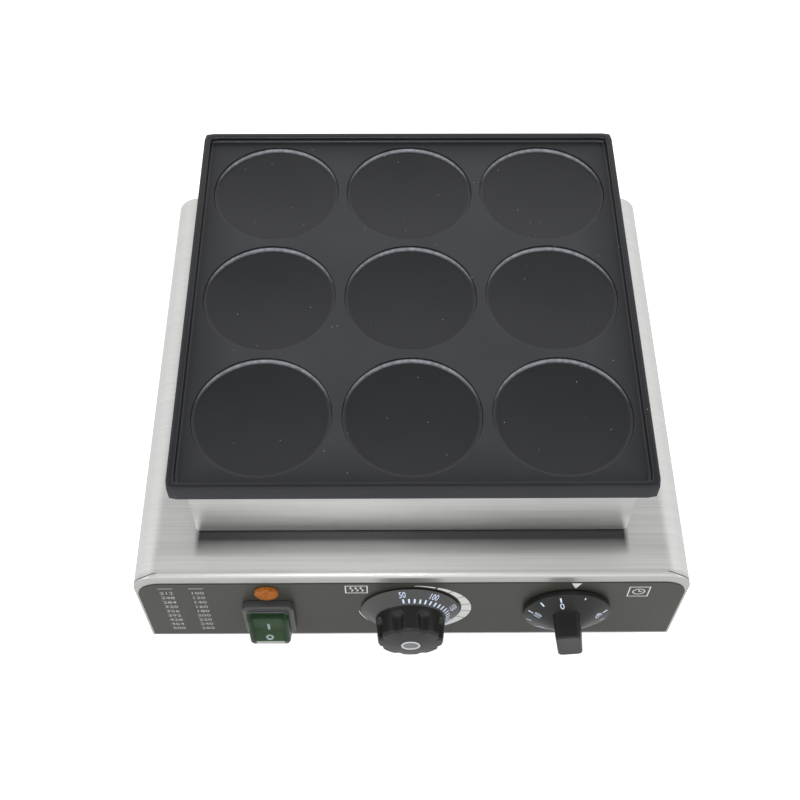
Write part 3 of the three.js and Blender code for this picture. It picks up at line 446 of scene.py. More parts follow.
def fold_radius_at(i):
    away = max(top_from - i, i - top_to, 0)
    return fold_taper[min(away, len(fold_taper) - 1)]


def lip_depth_at(i):
    return fold_radius + seam_width if top_from <= i <= top_to else max(fold_radius_at(i), sheet)


def wrap_start_at(i):
    return front_y + lip_depth_at(i) + (0 if top_from <= i <= top_to else seam_width)


rows = [casing_row([(x - nx * fold_radius_at(i) * inward, front_y + fold_radius_at(i) * back,
                     z - nz * fold_radius_at(i) * inward) for i, (x, z, nx, nz) in enumerate(outline)])
        for back, inward in quarter(fold_steps)]
rows.append(casing_row([(x, front_y + lip_depth_at(i), z) for i, (x, z, _, _) in enumerate(outline)]))
for near, far in zip(rows, rows[1:]):
    casing_strip(near, far, len(outline))
casing_faces.append(tuple(reversed(range(rows[0], rows[0] + len(outline)))))
hem_side, hem_rear = half_width - 0.6, front_y + 12
hem = casing_row([(x, y, casing_bottom) for x, y in (
    (-hem_side, front_y), (hem_side, front_y), (hem_side, hem_rear), (-hem_side, hem_rear))])
casing_faces.append((hem, hem + 3, hem + 2, hem + 1))
flange = half_width - 36
wrap = [(-flange, casing_bottom, 0, 0), *outline, (flange, casing_bottom, 0, 0)]
wrap_rows = [casing_row([(x, y_at(i - 1), z) for i, (x, z, _, _) in enumerate(wrap)])
             for y_at in (wrap_start_at, lambda i: rear_y)]
casing_strip(*wrap_rows, len(wrap))
casing = thickened(skin("casing", casing_points, casing_faces), sheet)
box_low, box_high = limits("heater_box")
box_lap = 17.6
opening = block((box_low.x + box_lap, box_high.x - box_lap), (box_low.y + box_lap, box_high.y - box_lap),
                (casing_top - 4, casing_top + 2))
casing = combined(casing, opening)


def on_panel(node):
    """Where a node's middle is on the front panel: across, and up from the casing's underside."""
    low_corner, high_corner = limits(node)
    return (low_corner.x + high_corner.x) / 2, (low_corner.z + high_corner.z) / 2 - casing_bottom


def control_cutters():
    """What the front flap and its film are pierced by: two shafts, four screws, lamp and switch."""
    shaft_hole, screw_hole, lens_hole = 5.0, 2.3, 6.3
    reach, spread, switch_gap = 4, 14.0, 0.7
    holes = []
    for node, radius in (("thermostat_shaft", shaft_hole), ("timer_shaft", shaft_hole),
                         ("lamp_lens", lens_hole)):
        x, z = on_panel(node)
        places = [(x, radius)]
        if radius == shaft_hole:
            places += [(x - spread, screw_hole), (x + spread, screw_hole)]
        for place_x, hole in places:
            holes.append(shifted(turned([(hole, -reach), (hole, reach)], 32), place_x, z))
    low_corner, high_corner = limits("switch_body")
    holes.append(block(
        (low_corner.x + switch_gap, high_corner.x - switch_gap),
        (low_corner.z - casing_bottom + switch_gap, high_corner.z - casing_bottom - switch_gap),
        (-reach, reach)))
    cutters = together(*holes)
    cutters.transform(Matrix.Translation((0, front_y, casing_bottom)) @ spin(90, "X"))
    return turned_out(cutters)


casing = combined(casing, control_cutters())
casing_steel = brushed_steel("casing steel", (7.0, 1100.0, 7.0), grain_runs="over the fold")
tree = casing_steel.node_tree
shader_normal = tree.nodes["Principled BSDF"].inputs["Normal"]
on_casing = parts_of(tree, object_place(tree))
# Painted shadow: within the box's width, the steel is painted near black from about 5 mm in front of the
# heater box backwards, fading out over the 12 mm before that. It stands in for the shade at the box's foot,
# and it also darkens the ledge behind the box.
shadow_ahead_of_box = ramp(tree, on_casing["Y"], (box_low.y - 17) * mm, (box_low.y - 5) * mm)
sideways = reckoned(tree, "ABSOLUTE", on_casing["X"])
shadow_across_box = ramp(tree, sideways, (box_high.x - 2) * mm, (box_high.x + 1) * mm, 1.0, 0.0)
overlaid(casing_steel, reckoned(tree, "MULTIPLY", shadow_ahead_of_box, shadow_across_box), (0.05, 0.05, 0.05))
# Painted shade: a darker steel tone along the front fold tones down the bright reflection there.
fold_shade = ramp(tree, on_casing["Y"], (front_y + 2) * mm, (front_y + 5) * mm, 1.0, 0.0)
overlaid(casing_steel, fold_shade, (0.53, 0.53, 0.52))
facing_up = ramp(tree, face_slope(tree, "Z"), 0.9, 0.99)
bowed = ramp(tree, on_casing["Y"], (front_y + 8) * mm, (box_low.y - 2) * mm, -0.22, 0.0, "SMOOTHSTEP")
bowed_top = reckoned(tree, "MULTIPLY", bowed, facing_up)
lean = add_node(tree, "ShaderNodeCombineXYZ", {"Y": bowed_top}).outputs[0]
leaning = vectored(tree, "ADD", shader_normal.links[0].from_socket, lean)
tree.links.new(vectored(tree, "NORMALIZE", leaning), shader_normal)
fitted("casing", casing, world_frame, "casing", "casing_steel", casing_steel, "body_shell", smooth=30)

# Base plate and rear panel
# Two pressed steel sheets close the casing. Each has rows of round-ended vent slots, and the
# rear one is a shallow tray, pierced for the cable gland and the earth screw.


def spread_out(group, given, points, **placing):
    """Ends a tree: its shape stands on every point, and is made real and given its material."""
    standing = {"Points": points, "Instance": given["Shape"], **placing}
    copies = add_node(group, "GeometryNodeInstanceOnPoints", standing)
    real = add_node(group, "GeometryNodeRealizeInstances", {"Geometry": copies.outputs[0]})
    finish = {"Geometry": real.outputs[0], "Material": given["Material"]}
    dressed = add_node(group, "GeometryNodeSetMaterial", finish)
    add_node(group, "NodeGroupOutput", {"Shape": dressed.outputs[0]})
    return group


def rows_and_columns_tree():
    """Sets one shape out in rows and columns, as a press does with its punches."""
    group, given = new_group("rows and columns", "GeometryNodeTree", {
        "Shape": "Geometry", "Columns": "Int", "Rows": "Int", "Pitch X": "Float", "Pitch Y": "Float",
        "Centre": "Vector", "Material": "Material",
    }, {"Shape": "Geometry"})

    def span(number, pitch):
        return reckoned(group, "MULTIPLY", reckoned(group, "SUBTRACT", given[number], 1.0), given[pitch])

    grid = add_node(group, "GeometryNodeMeshGrid", {
        "Size X": span("Columns", "Pitch X"), "Size Y": span("Rows", "Pitch Y"),
        "Vertices X": given["Columns"], "Vertices Y": given["Rows"],
    })
    centred = {"Geometry": grid.outputs[0], "Offset": given["Centre"]}
    placed = add_node(group, "GeometryNodeSetPosition", centred)
    return spread_out(group, given, placed.outputs[0])


rows_and_columns = rows_and_columns_tree()


def set_out(mesh, tree, **sizes):
    """A mesh passed through a node tree whose named inputs are given."""
    rough = on_show("pattern", mesh)
    step = rough.modifiers.new(tree.name, "NODES")
    step.node_group = tree
    names = {item.name: item.identifier for item in tree.interface.items_tree if item.in_out == "INPUT"}
    for name, value in sizes.items():
        step[names[name.replace("_", " ")]] = value
    return settled(rough)


def slab_of(outline_points, back, front):
    """A thin flat print or plate between two depths, from a counterclockwise outline."""
    return lofted([[(x, y, depth) for x, y in outline_points] for depth in (back, front)])


def vent_slots(columns, pitch_x, centre):
    """Punches on Z for rows of round-ended slots."""
    length, width, reach = 34, 3.5, 3
    radius, middle = width / 2, (length - width) / 2
    ring = arc((middle, 0), radius, -90, 90, 8) + arc((-middle, 0), radius, 90, 270, 8)
    return set_out(slab_of(ring, -reach, reach), rows_and_columns, Columns=columns, Rows=5, Pitch_X=pitch_x,
                   Pitch_Y=8.0, Centre=centre, Material=casing_steel)


def sheet_ring(half_x, half_y, radius, z, steps=6):
    """A rounded rectangle at a height, counterclockwise."""
    ring = []
    for centre_x, centre_y, start in ((1, 1, 0), (-1, 1, 90), (-1, -1, 180), (1, -1, 270)):
        centre = (centre_x * (half_x - radius), centre_y * (half_y - radius))
        ring += arc(centre, radius, start, start + 90, steps)
    return [(x, y, z) for x, y in ring]


low, high = limits("base_plate")
base_middle = (low + high) / 2
base_half = (high - low) / 2
base = lofted([sheet_ring(base_half.x, base_half.y, 2.0, z) for z in (-base_half.z, base_half.z)])
base = combined(base, vent_slots(4, 48.0, (0.0, 0.0, 0.0)))
plain_sheet = brushed_steel("panel steel", (7.0, 900.0, 900.0), rough=(0.3, 0.42))
fitted("base_plate_pressing", base, world_frame @ Matrix.Translation(base_middle), "casing", "casing_steel",
       plain_sheet, "base_plate")

low, high = limits("rear_panel")
rear_face = high.y
bend, tray_depth = 1.5, 10.0


def arched(right, bottom, top, corner, small, fine):
    """An outline with two wide upper corners and two small lower ones, counterclockwise."""
    ring = arc((right - corner, top - corner), corner, 0, 90, fine)
    ring += arc((corner - right, top - corner), corner, 90, 180, fine)
    ring += arc((small - right, bottom + small), small, 180, 270, 4)
    return ring + arc((right - small, bottom + small), small, 270, 360, 4)


def tray_ring(inset, depth):
    """The tray's outline, set in and pushed back by a depth."""
    ring = arched(high.x - inset, low.z + inset, high.z - inset, 14.5 - inset, 1.5, 12)
    return [(x, z, depth) for x, z in ring]


def with_faces(name, mesh, *faces, flipped=False):
    """A mesh with more faces, its own turned over first where that is asked."""
    own = [tuple(reversed(p.vertices)) if flipped else tuple(p.vertices) for p in mesh.polygons]
    return skin(name, [v.co[:] for v in mesh.vertices], own + list(faces))


tray = [tray_ring(0.0, tray_depth)] + [tray_ring(bend * inward, bend * back) for inward, back in quarter(4)]
tray_mesh = lofted(list(reversed(tray)), ends=False)
tray_mesh = with_faces("tray", tray_mesh, tuple(reversed(range(len(tray[0])))))
tray_mesh = thickened(turned_out(tray_mesh), sheet)
punches = [vent_slots(1, 0.0, (side * 62.0 - 31.0, casing_bottom + 42.0, 0.0)) for side in (-1, 1)]
for node, radius in (("cable_gland", 8.3), ("earth_screw", 2.8)):
    hole_low, hole_high = limits(node)
    punches.append(shifted(turned([(radius, -3), (radius, 3)], 32), (hole_low.x + hole_high.x) / 2,
                           (hole_low.z + hole_high.z) / 2))
tray_mesh = combined(turned_out(tray_mesh), turned_out(together(*punches)))
fitted("rear_panel_pressing", tray_mesh, upright_frame(rear_face, 0, 90), "casing", "casing_steel",
       plain_sheet, "rear_panel")

# Feet and their screws
# Four moulded rubber feet, a little wider at the top, each held by a pan-head screw that sits in
# its deep counterbore.


def moulded(name, colour, pale, rough=(0.45, 0.6), bump=0.00002, speckle=900.0, **shader_values):
    """Moulded plastic or rubber with a fine surface texture and faint cloudiness."""
    material, tree, shader, wire = blank_material(name)
    place = object_place(tree)
    cloud = noise(tree, place, 45.0, 3.0)
    wire("Base Color", between(tree, cloud, colour, pale))
    wire("Roughness", between(tree, cloud, *rough))
    wire("Normal", raised(tree, noise(tree, place, speckle, 1.0), bump))
    for socket, value in shader_values.items():
        shader.inputs[socket.replace("_", " ")].default_value = value
    return material


def hooped(name, rings):
    """A skin through rings whose last is joined to the first, as on a pipe's wall."""
    count = len(rings[0])
    last = count * (len(rings) - 1)
    joint = [(last + i, last + (i + 1) % count, (i + 1) % count, i) for i in range(count)]
    return turned_out(with_faces(name, lofted(rings, ends=False), *joint))


foot_low, foot_high = limits("foot_front_left")
far_low, far_high = limits("foot_rear_right")
foot_height = foot_high.z
foot_profile = [(2.3, 8.0), (6.0, 8.0), (6.0, 0.6), (6.4, 0.0), *arc((10.9, 1.1), 1.1, -90, 0, 4),
                (13.2, foot_height - 2.6), (14.0, foot_height - 1.6), (14.0, foot_height - 0.4),
                (13.6, foot_height), (2.3, foot_height)]
feet_pitch = [(far_low[i] + far_high[i] - foot_low[i] - foot_high[i]) / 2 for i in (0, 1)]
feet_centre = [(far_low[i] + far_high[i] + foot_low[i] + foot_high[i]) / 4 for i in (0, 1)]


def at_four_feet(mesh, height, material):
    return set_out(mesh, rows_and_columns, Columns=2, Rows=2, Pitch_X=feet_pitch[0], Pitch_Y=feet_pitch[1],
                   Centre=(*feet_centre, height), Material=material)


foot_rubber = moulded("foot rubber", (0.012, 0.012, 0.013), (0.024, 0.024, 0.025), rough=(0.6, 0.8),
                      bump=0.00005)
foot = hooped("foot", [circle(radius, z, 48) for radius, z in foot_profile])
fitted("rubber_feet", at_four_feet(foot, 0.0, foot_rubber), world_frame, "casing", "foot_rubber",
       foot_rubber, "foot_front_left", "foot_front_right", "foot_rear_left", "foot_rear_right")


def pan_head_screw(head_radius, head_height, shank_radius, length):
    """A pan-head screw on Z, its head's face at zero and its shank upwards, with a cross recess."""
    wing, groove, recess = head_radius * 0.55, 0.45, 1.2
    crown = arc((head_radius * 0.6, head_height * 0.6), head_height * 0.6, -90, -10, 5)
    profile = [(0.02, 0.0), (wing, 0.0)] + [(min(r, head_radius), z) for r, z in crown]
    profile += [(head_radius, head_height * 0.7), (head_radius, head_height), (shank_radius, head_height),
                (shank_radius, length - 0.5), (shank_radius - 0.5, length), (0.02, length)]
    cross = combined(block((-wing, wing), (-groove, groove), (-1, recess)),
                     block((-groove, groove), (-wing, wing), (-1, recess)), "UNION")
    return combined(turned(profile, 32), cross)


screw_low, screw_high = limits("foot_screw_front_left")
screw_steel = brushed_steel("screw steel", (300.0, 300.0, 900.0), rough=(0.25, 0.4))
foot_screw = pan_head_screw(4.0, 2.4, 2.0, screw_high.z - screw_low.z)
fitted("foot_screws", at_four_feet(foot_screw, screw_low.z, screw_steel), world_frame, "casing",
       "plain_steel", screw_steel, "foot_screw_front_left", "foot_screw_front_right",
       "foot_screw_rear_left", "foot_screw_rear_right")

# Heater box
# Four walls of brushed stainless sheet under the plate, with flanges turned in at the top and at
# the bottom and small bends at every edge. The grain runs level round the box.
box_middle = (box_low + box_high) / 2
box_half = box_high.x - box_middle.x
box_bend = 1.3


def box_ring(inset, radius, z):
    return sheet_ring(box_half - inset, box_half - inset, radius, z)


walls_rings = [box_ring(14, 1.5, box_low.z)]
walls_rings += [box_ring(box_bend * inward, 1.6, box_low.z + box_bend * up) for up, inward in quarter(3)]
walls_rings += [box_ring(box_bend * inward, 1.6, box_high.z - box_bend * down) for inward, down in quarter(3)]
walls_rings.append(box_ring(10, 1.5, box_high.z))
heater_walls = thickened(lofted(walls_rings, ends=False), sheet)
box_steel = brushed_steel("heater box steel", (7.0, 7.0, 1000.0), dark=(0.53, 0.53, 0.52),
                          pale=(0.68, 0.68, 0.67), grain_runs="round the walls")
tree = box_steel.node_tree
# Painted light: the walls' steel is painted paler towards the foot of the box, fading out about 26 mm above
# the casing top.
height = parts_of(tree, object_place(tree))["Z"]
foot_light = ramp(tree, height, (casing_top + 4) * mm, (casing_top + 26) * mm, 1.0, 0.0, "SMOOTHSTEP")
overlaid(box_steel, foot_light, (0.90, 0.90, 0.89))
fitted("heater_box_walls", heater_walls, world_frame @ Matrix.Translation((0, box_middle.y, 0)), "casing",
       "casing_steel", box_steel, "heater_box", smooth=30)

# Griddle plate
# One aluminium casting with a raised rim and three rows of three shallow, slightly dished
# hollows. Its non-stick coating is sprayed on: satin black, with a fine orange-peel surface.
low, high = limits("griddle_plate")
plate_middle = (low + high) / 2
plate_half = high.x - plate_middle.x
rim_height, rim_width = 3.8, 4.3
deck = high.z - rim_height
underside = low.z - deck
pitch = 85.3
hollow_radius, hollow_edge, hollow_wall, hollow_fillet, fillet_width, dish = 40.0, 0.5, 0.9, 1.8, 3.4, 1.7
cell_sides = 96


def square_ring(half, z):
    """Points on a square's outline, each in the direction of its point on the hollow's circle."""
    ring = []
    for x, y, _ in circle(1.0, 0.0, cell_sides):
        stretch = half / max(abs(x), abs(y))
        ring.append((x * stretch, y * stretch, z))
    return ring


floor_radius = hollow_radius - fillet_width
profile = [(hollow_radius + hollow_edge + 0.3, 0.0)]
profile += arc((hollow_radius + hollow_edge, -hollow_edge), hollow_edge, 90, 180, 5)
profile += [(floor_radius + x * fillet_width, z * hollow_fillet - hollow_edge - hollow_wall)
            for x, z in arc((0.0, 0.0), 1.0, 0, -86, 12)]
profile += [(floor_radius * share, -(hollow_edge + hollow_wall + hollow_fillet + dish * (1 - share ** 2)))
            for share in (0.92, 0.8, 0.65, 0.5, 0.35, 0.2, 0.08)]
hollow = [square_ring(pitch / 2, 0.0)] + [circle(radius, z, cell_sides) for radius, z in profile]
cell = lofted(list(reversed(hollow)), ends=False)
cell = with_faces("hollow", cell, tuple(range(cell_sides)), flipped=True)
coating_material, tree, _, wire = blank_material("non-stick coating")
place = object_place(tree)
cloud = noise(tree, place, 22.0, 4.0)
wear_spots = add_node(tree, "ShaderNodeTexVoronoi", {"Vector": place, "Scale": 150.0}).outputs
spot = ramp(tree, wear_spots["Distance"], 0.018, 0.036, 1.0, 0.0)
rare = add_node(tree, "ShaderNodeSeparateColor", {0: wear_spots["Color"]}).outputs[0]
dust = reckoned(tree, "MULTIPLY", spot, reckoned(tree, "GREATER_THAN", rare, 0.3))
black = between(tree, cloud, (0.004, 0.005, 0.009), (0.011, 0.012, 0.014))
rubbed = between(tree, cloud, (0.014, 0.017, 0.020), (0.036, 0.038, 0.042))
height = parts_of(tree, place)["Z"]
off_deck = reckoned(tree, "ABSOLUTE", reckoned(tree, "SUBTRACT", height, deck * mm))
on_deck = ramp(tree, off_deck, 0.00005, 0.0003, 1.0, 0.0)
off_centre = vectored(tree, "ABSOLUTE", vectored(tree, "SUBTRACT", place, plate_middle * mm))
off_centre = parts_of(tree, off_centre)
farther = reckoned(tree, "MAXIMUM", off_centre["X"], off_centre["Y"])
wiped_middle, wiped_edge, highlight_edge, wall_from = 0.104, 0.129, 0.128, 0.1335
wiped = reckoned(tree, "MULTIPLY", ramp(tree, farther, wiped_middle, wiped_edge, 1.0, 0.0), on_deck)
# Painted highlight: the hollows' walls and fillets below the deck's edge that face the front get a pale,
# cloudy tone, standing in for the bright crescent of reflected light along each hollow's rear edge.
facing_front = ramp(tree, face_slope(tree, "Y"), -0.16, -0.45)
below_edge = ramp(tree, height, (deck - 2.2) * mm, (deck - 1.6) * mm, 1.0, 0.0)
crescent_highlight = reckoned(tree, "MULTIPLY", facing_front, below_edge)
crescent_highlight = reckoned(tree, "MULTIPLY", crescent_highlight, reckoned(tree, "LESS_THAN", farther, highlight_edge))
highlight_tone = between(tree, noise(tree, place, 330.0, 4.0), (0.03, 0.035, 0.05), (0.42, 0.43, 0.47))
coat = between(tree, crescent_highlight, between(tree, wiped, black, rubbed), highlight_tone)
wire("Base Color", between(tree, dust, coat, (0.75, 0.77, 0.80)))
satin = between(tree, on_deck, between(tree, cloud, 0.22, 0.28), 0.45)
outer_wall = reckoned(tree, "GREATER_THAN", farther, wall_from)
wire("Roughness", between(tree, outer_wall, satin, 0.62))
wire("Normal", raised(tree, noise(tree, place, 1300.0, 2.0), 0.00006))
cells = set_out(cell, rows_and_columns, Columns=3, Rows=3, Pitch_X=pitch, Pitch_Y=pitch,
                Centre=(0.0, 0.0, 0.0), Material=coating_material)


def cell_block_edge():
    """The outline of the three-by-three block of cells, counterclockwise."""
    start = cell_sides // 8
    top_edge = square_ring(pitch / 2, 0.0)[start:start + cell_sides // 4]
    ring = []
    for turn in range(4):
        angle = math.radians(90 * turn)
        for column in (1, 0, -1):
            for x, y, _ in top_edge:
                px, py = x + column * pitch, y + pitch
                ring.append((px * math.cos(angle) - py * math.sin(angle),
                             px * math.sin(angle) + py * math.cos(angle)))
    return ring


block_edge = cell_block_edge()
block_half = 3 * pitch / 2


def border_ring(half, radius, z):
    """A rounded square with the points of three cells' edges along each side."""
    inner = half - radius
    ring = []
    for x, y in block_edge:
        px, py = x * half / block_half, y * half / block_half
        if radius > 0 and abs(px) > inner and abs(py) > inner:
            corner = Vector((math.copysign(inner, px), math.copysign(inner, py)))
            px, py = corner + (Vector((px, py)) - corner).normalized() * radius
        ring.append((px, py, z))
    return ring


deck_half = plate_half - rim_width
foot_fillet, rim_round, outer_round, lower_round = 1.6, 1.1, 1.4, 1.0
border = [border_ring(block_half, 0.0, 0.0), border_ring(deck_half - foot_fillet - 0.3, 2.0, 0.0)]
border += [border_ring(deck_half - foot_fillet * inward, 2.0, foot_fillet * up) for up, inward in quarter(5)]
border += [border_ring(deck_half + rim_round * out, 2.1, rim_height - rim_round * down)
           for out, down in quarter(5)]
border.append(border_ring((deck_half + plate_half) / 2, 2.5, rim_height))
border += [border_ring(plate_half - outer_round * inward, 3.0, rim_height - outer_round * down)
           for down, inward in quarter(5)]
border += [border_ring(plate_half - lower_round * inward, 3.0, underside + lower_round * up)
           for inward, up in quarter(4)]
border_mesh = lofted(border, ends=False)
points = len(border_mesh.vertices)
last_ring = tuple(range(points - len(block_edge), points))
border_mesh = with_faces("border", border_mesh, last_ring, flipped=True)
plate = turned_out(merged(together(cells, border_mesh), 0.01))
fitted("griddle_casting", plate, world_frame @ Matrix.Translation((0, plate_middle.y, deck)), "casing",
       "coated_casting", coating_material, "griddle_plate", smooth=40)

# Inside
# Bent tube elements pressed to the plate by two bars on studs, a shelf with a fibre board under
# them, the thermostat's bulb, and the controls' cases and wiring. The machine hides nearly all.
nodes = frame["nodes"]


def dress(material, *names):
    for name in names:
        for place_for_material in nodes[name].material_slots:
            place_for_material.material = material


inner_steel = brushed_steel("inner steel", (200.0, 200.0, 200.0), dark=(0.34, 0.33, 0.32),
                            pale=(0.47, 0.46, 0.44), rough=(0.35, 0.5))
dress(inner_steel, "heating_element_front", "heating_element_middle", "heating_element_rear",
      "clamp_bar_left", "clamp_bar_right", "insulation_shelf", "bulb_clip", "thermostat_shaft", "timer_shaft")
dress(screw_steel, *(f"{kind}_{end}_{side}" for kind in ("plate_stud", "stud_nut", "box_screw")
                     for end in ("front", "rear") for side in ("left", "right")),
      "thermostat_screw_left", "thermostat_screw_right", "timer_screw_left", "timer_screw_right")
dress(moulded("fibre board", (0.55, 0.51, 0.42), (0.72, 0.68, 0.58), rough=(0.85, 0.95), bump=0.0004,
              speckle=400.0), "insulation_board")
copper_tube = brushed_steel("copper tube", (90.0, 90.0, 90.0), dark=(0.48, 0.22, 0.11),
                            pale=(0.68, 0.36, 0.2))
dress(copper_tube, "thermostat_bulb")
case_plastic = moulded("control case plastic", (0.02, 0.02, 0.022), (0.035, 0.035, 0.037))
dress(case_plastic, "thermostat_body", "timer_body", "lamp_body", "gland_nut")
for finish, colour, pale, rough, node in (
    ("terminal ceramic", (0.72, 0.69, 0.61), (0.82, 0.79, 0.72), (0.3, 0.45), "terminal_block"),
    ("red-brown sleeve", (0.17, 0.05, 0.03), (0.25, 0.08, 0.05), (0.6, 0.75), "element_lead_live"),
    ("blue sleeve", (0.03, 0.07, 0.2), (0.05, 0.11, 0.28), (0.6, 0.75), "element_lead_neutral"),
    ("loom sleeve", (0.03, 0.03, 0.032), (0.06, 0.06, 0.062), (0.6, 0.75), "control_loom"),
):
    dress(moulded(finish, colour, pale, rough=rough), node)

# Control film
# A thin printed plastic film stuck to the front flap. It leaves a bare steel border and is
# pierced for the lamp, the switch and the two shafts.
low, high = limits("control_film")
film_front, film_back = front_y - low.y, front_y - high.y
film_shape = arched(high.x, low.z - casing_bottom, high.z - casing_bottom, 14.3, 1.0, 14)
film_mesh = slab_of(film_shape, film_back, film_front)
film_mesh.transform(Matrix.Translation((0, front_y, casing_bottom)) @ spin(90, "X"))
film_mesh = combined(film_mesh, control_cutters())
film_material = moulded("control film plastic", (0.034, 0.034, 0.028), (0.042, 0.042, 0.035),
                        rough=(0.34, 0.44), bump=0.000008, speckle=700.0, Specular_IOR_Level=0.25)
fitted("front_film", film_mesh, world_frame, "casing", "control_film", film_material, "control_film")

# Print on the film
# Screen-printed marks: a plain table of numbers, a segmented crescent round the temperature
# knob, a pointer over the timer knob, and two framed signs of a plain, general kind.


def band_of(outer, inner, back, front):
    """A flat closed band between two outlines of equally many points."""
    return hooped("band", [[(x, y, depth) for x, y in edge] for edge, depth in
                           ((inner, back), (outer, back), (outer, front), (inner, front))])


def rectangle(x, y):
    return [(x[0], y[0]), (x[1], y[0]), (x[1], y[1]), (x[0], y[1])]


def ring_outlines(x, y, outer, inner):
    return [arc((x, y), radius, 0, 345, 23) for radius in (outer, inner)]


def figures(words, size, depth=0.03):
    """Printed figures as a thin solid, centred on the origin, in the plane of X and Y."""
    text = bpy.data.curves.new("figures", "FONT")
    text.body = words
    text.size = size
    text.align_x = "CENTER"
    text.align_y = "CENTER"
    text.extrude = depth
    text.resolution_u = 3
    mesh = settled(on_show("figures", text))
    bpy.data.curves.remove(text)
    return with_faces("figures", mesh)


def printing_ink(name, colour, pale):
    """Screen-printed ink: slightly uneven, a little glossier than what it is printed on."""
    return moulded(name, colour, pale, rough=(0.35, 0.5), bump=0.000006)


ink = (film_front - 0.05, film_front + 0.05)
dial_x, dial_height = on_panel("temperature_knob")
timer_x, timer_height = on_panel("timer_shaft")
table_columns, table_top, line_pitch = (-144.6, -126.6), 63.2, 6.47
small_print = []
for row, value in enumerate(range(100, 280, 20)):
    for column_x, words in zip(table_columns, (str(round(value * 1.8 + 32)), str(value))):
        small_print.append(shifted(figures(words, 4.9), column_x, table_top - row * line_pitch, film_front,
                                   scale=(1.12, 1, 1)))
for column_x in table_columns:
    small_print.append(slab_of(rectangle((column_x - 4.4, column_x + 4.4), (69.3, 69.9)), *ink))
faint_ink = printing_ink("faint grey ink", (0.38, 0.38, 0.36), (0.46, 0.46, 0.44))
fitted("film_number_table", together(*small_print), panel_frame, "casing", "control_film", faint_ink)

crescent_inside = 30.9
crescent_widths = [(4, 0.5), (27, 1.7), (29.5, 2.0), (46, 3.3), (47.2, 3.4), (63, 4.6), (64.2, 4.7),
                   (81, 5.6), (82.2, 5.7), (97, 6.1), (98.2, 6.1), (114, 5.7), (115.2, 5.6), (134, 4.3),
                   (160, 2.4), (190, 1.1), (215, 0.7), (262, 0.55)]


def crescent_width(turn):
    for (start, first), (end, last) in zip(crescent_widths, crescent_widths[1:]):
        if start <= turn <= end:
            return first + (last - first) * (turn - start) / (end - start)
    return 0.5


def crescent_point(turn, radius):
    angle = math.radians(turn)
    return dial_x + radius * math.sin(angle), dial_height + radius * math.cos(angle)


def crescent_piece(start, end):
    steps = max(4, round((end - start) / 3))
    turns = [start + (end - start) * i / steps for i in range(steps + 1)]
    outer = [crescent_point(t, crescent_inside + crescent_width(t)) for t in reversed(turns)]
    inner = [crescent_point(t, crescent_inside) for t in turns]
    return turned_out(slab_of(outer + inner, *ink))


white_print = [crescent_piece(start, end) for start, end in (
    (4, 27), (29.5, 46), (47.2, 63), (64.2, 81), (82.2, 97), (98.2, 114), (115.2, 262))]
white_print.append(slab_of([(timer_x + 2.5, 67.7), (timer_x + 5.5, 74.9), (timer_x - 0.5, 74.9)], *ink))
frame_line = 0.7
for x, y in (((-39.4, -26.0), (62.6, 72.8)), ((127.6, 140.2), (56.4, 69.8))):
    inside = rectangle((x[0] + frame_line, x[1] - frame_line), (y[0] + frame_line, y[1] - frame_line))
    white_print.append(band_of(rectangle(x, y), inside, *ink))
for wave in (-3.0, 0.0, 3.0):
    path = [(wave + 0.8 * math.sin(i * math.pi / 4), 65.0 + i * 0.75) for i in range(9)]
    left_edge = [(x - 33.0, y) for x, y in path]
    right_edge = [(x - 32.2, y) for x, y in reversed(path)]
    white_print.append(turned_out(slab_of(left_edge + right_edge, *ink)))
clock_x, clock_y, hand = 133.9, 63.1, 0.3
white_print.append(band_of(*ring_outlines(clock_x, clock_y, 3.8, 3.1), *ink))
for x, y in (((clock_x - hand, clock_x + hand), (clock_y, clock_y + 2.4)),
             ((clock_x + hand, clock_x + 2.0), (clock_y - hand, clock_y + hand))):
    white_print.append(slab_of(rectangle(x, y), *ink))
pale_ink = printing_ink("pale ink", (0.58, 0.60, 0.58), (0.66, 0.68, 0.66))
fitted("film_signs", together(*white_print), panel_frame, "casing", "control_film", pale_ink)

# Pilot lamp
# A domed amber lens, moulded with a fine pattern of prisms that scatters the light behind it.
low, high = limits("lamp_lens")
lens_back, lens_radius = front_y - high.y, (high.x - low.x) / 2
lens_sides, lens_steps = 96, 14
lens_rings = [circle(lens_radius, lens_back, lens_sides)]
for step in range(1, lens_steps + 1):
    share = step / lens_steps
    swing = math.radians(90 * (step - 1) / (lens_steps - 1))
    radius, rise = lens_radius * max(math.cos(swing), 0.02), lens_back + 0.9 + 3.0 * math.sin(swing)
    ring = []
    for x, y, _ in circle(1.0, 0.0, lens_sides):
        ripple = math.cos(16 * math.atan2(y, x)) * math.sin(share * math.pi * 5) if share < 0.97 else 0.0
        facet = abs(0.16 * ripple * min(1.0, radius / 3.0))
        ring.append(((radius - facet) * x, (radius - facet) * y, rise - facet))
    lens_rings.append(ring)
lens_material, tree, shader, wire = blank_material("amber lens", roughness=0.18)
prisms = add_node(tree, "ShaderNodeTexVoronoi", {"Vector": object_place(tree), "Scale": 1100.0})
prisms = prisms.outputs["Distance"]
wire("Base Color", between(tree, prisms, (0.42, 0.13, 0.006), (0.11, 0.025, 0.001)))
wire("Emission Color", between(tree, prisms, (1.0, 0.34, 0.015), (0.35, 0.07, 0.002)))
wire("Normal", raised(tree, prisms, 0.0004))
for socket, value in (("Emission Strength", 0.09), ("Specular IOR Level", 0.2), ("Coat Weight", 0.06),
                      ("Coat Roughness", 0.1)):
    shader.inputs[socket].default_value = value
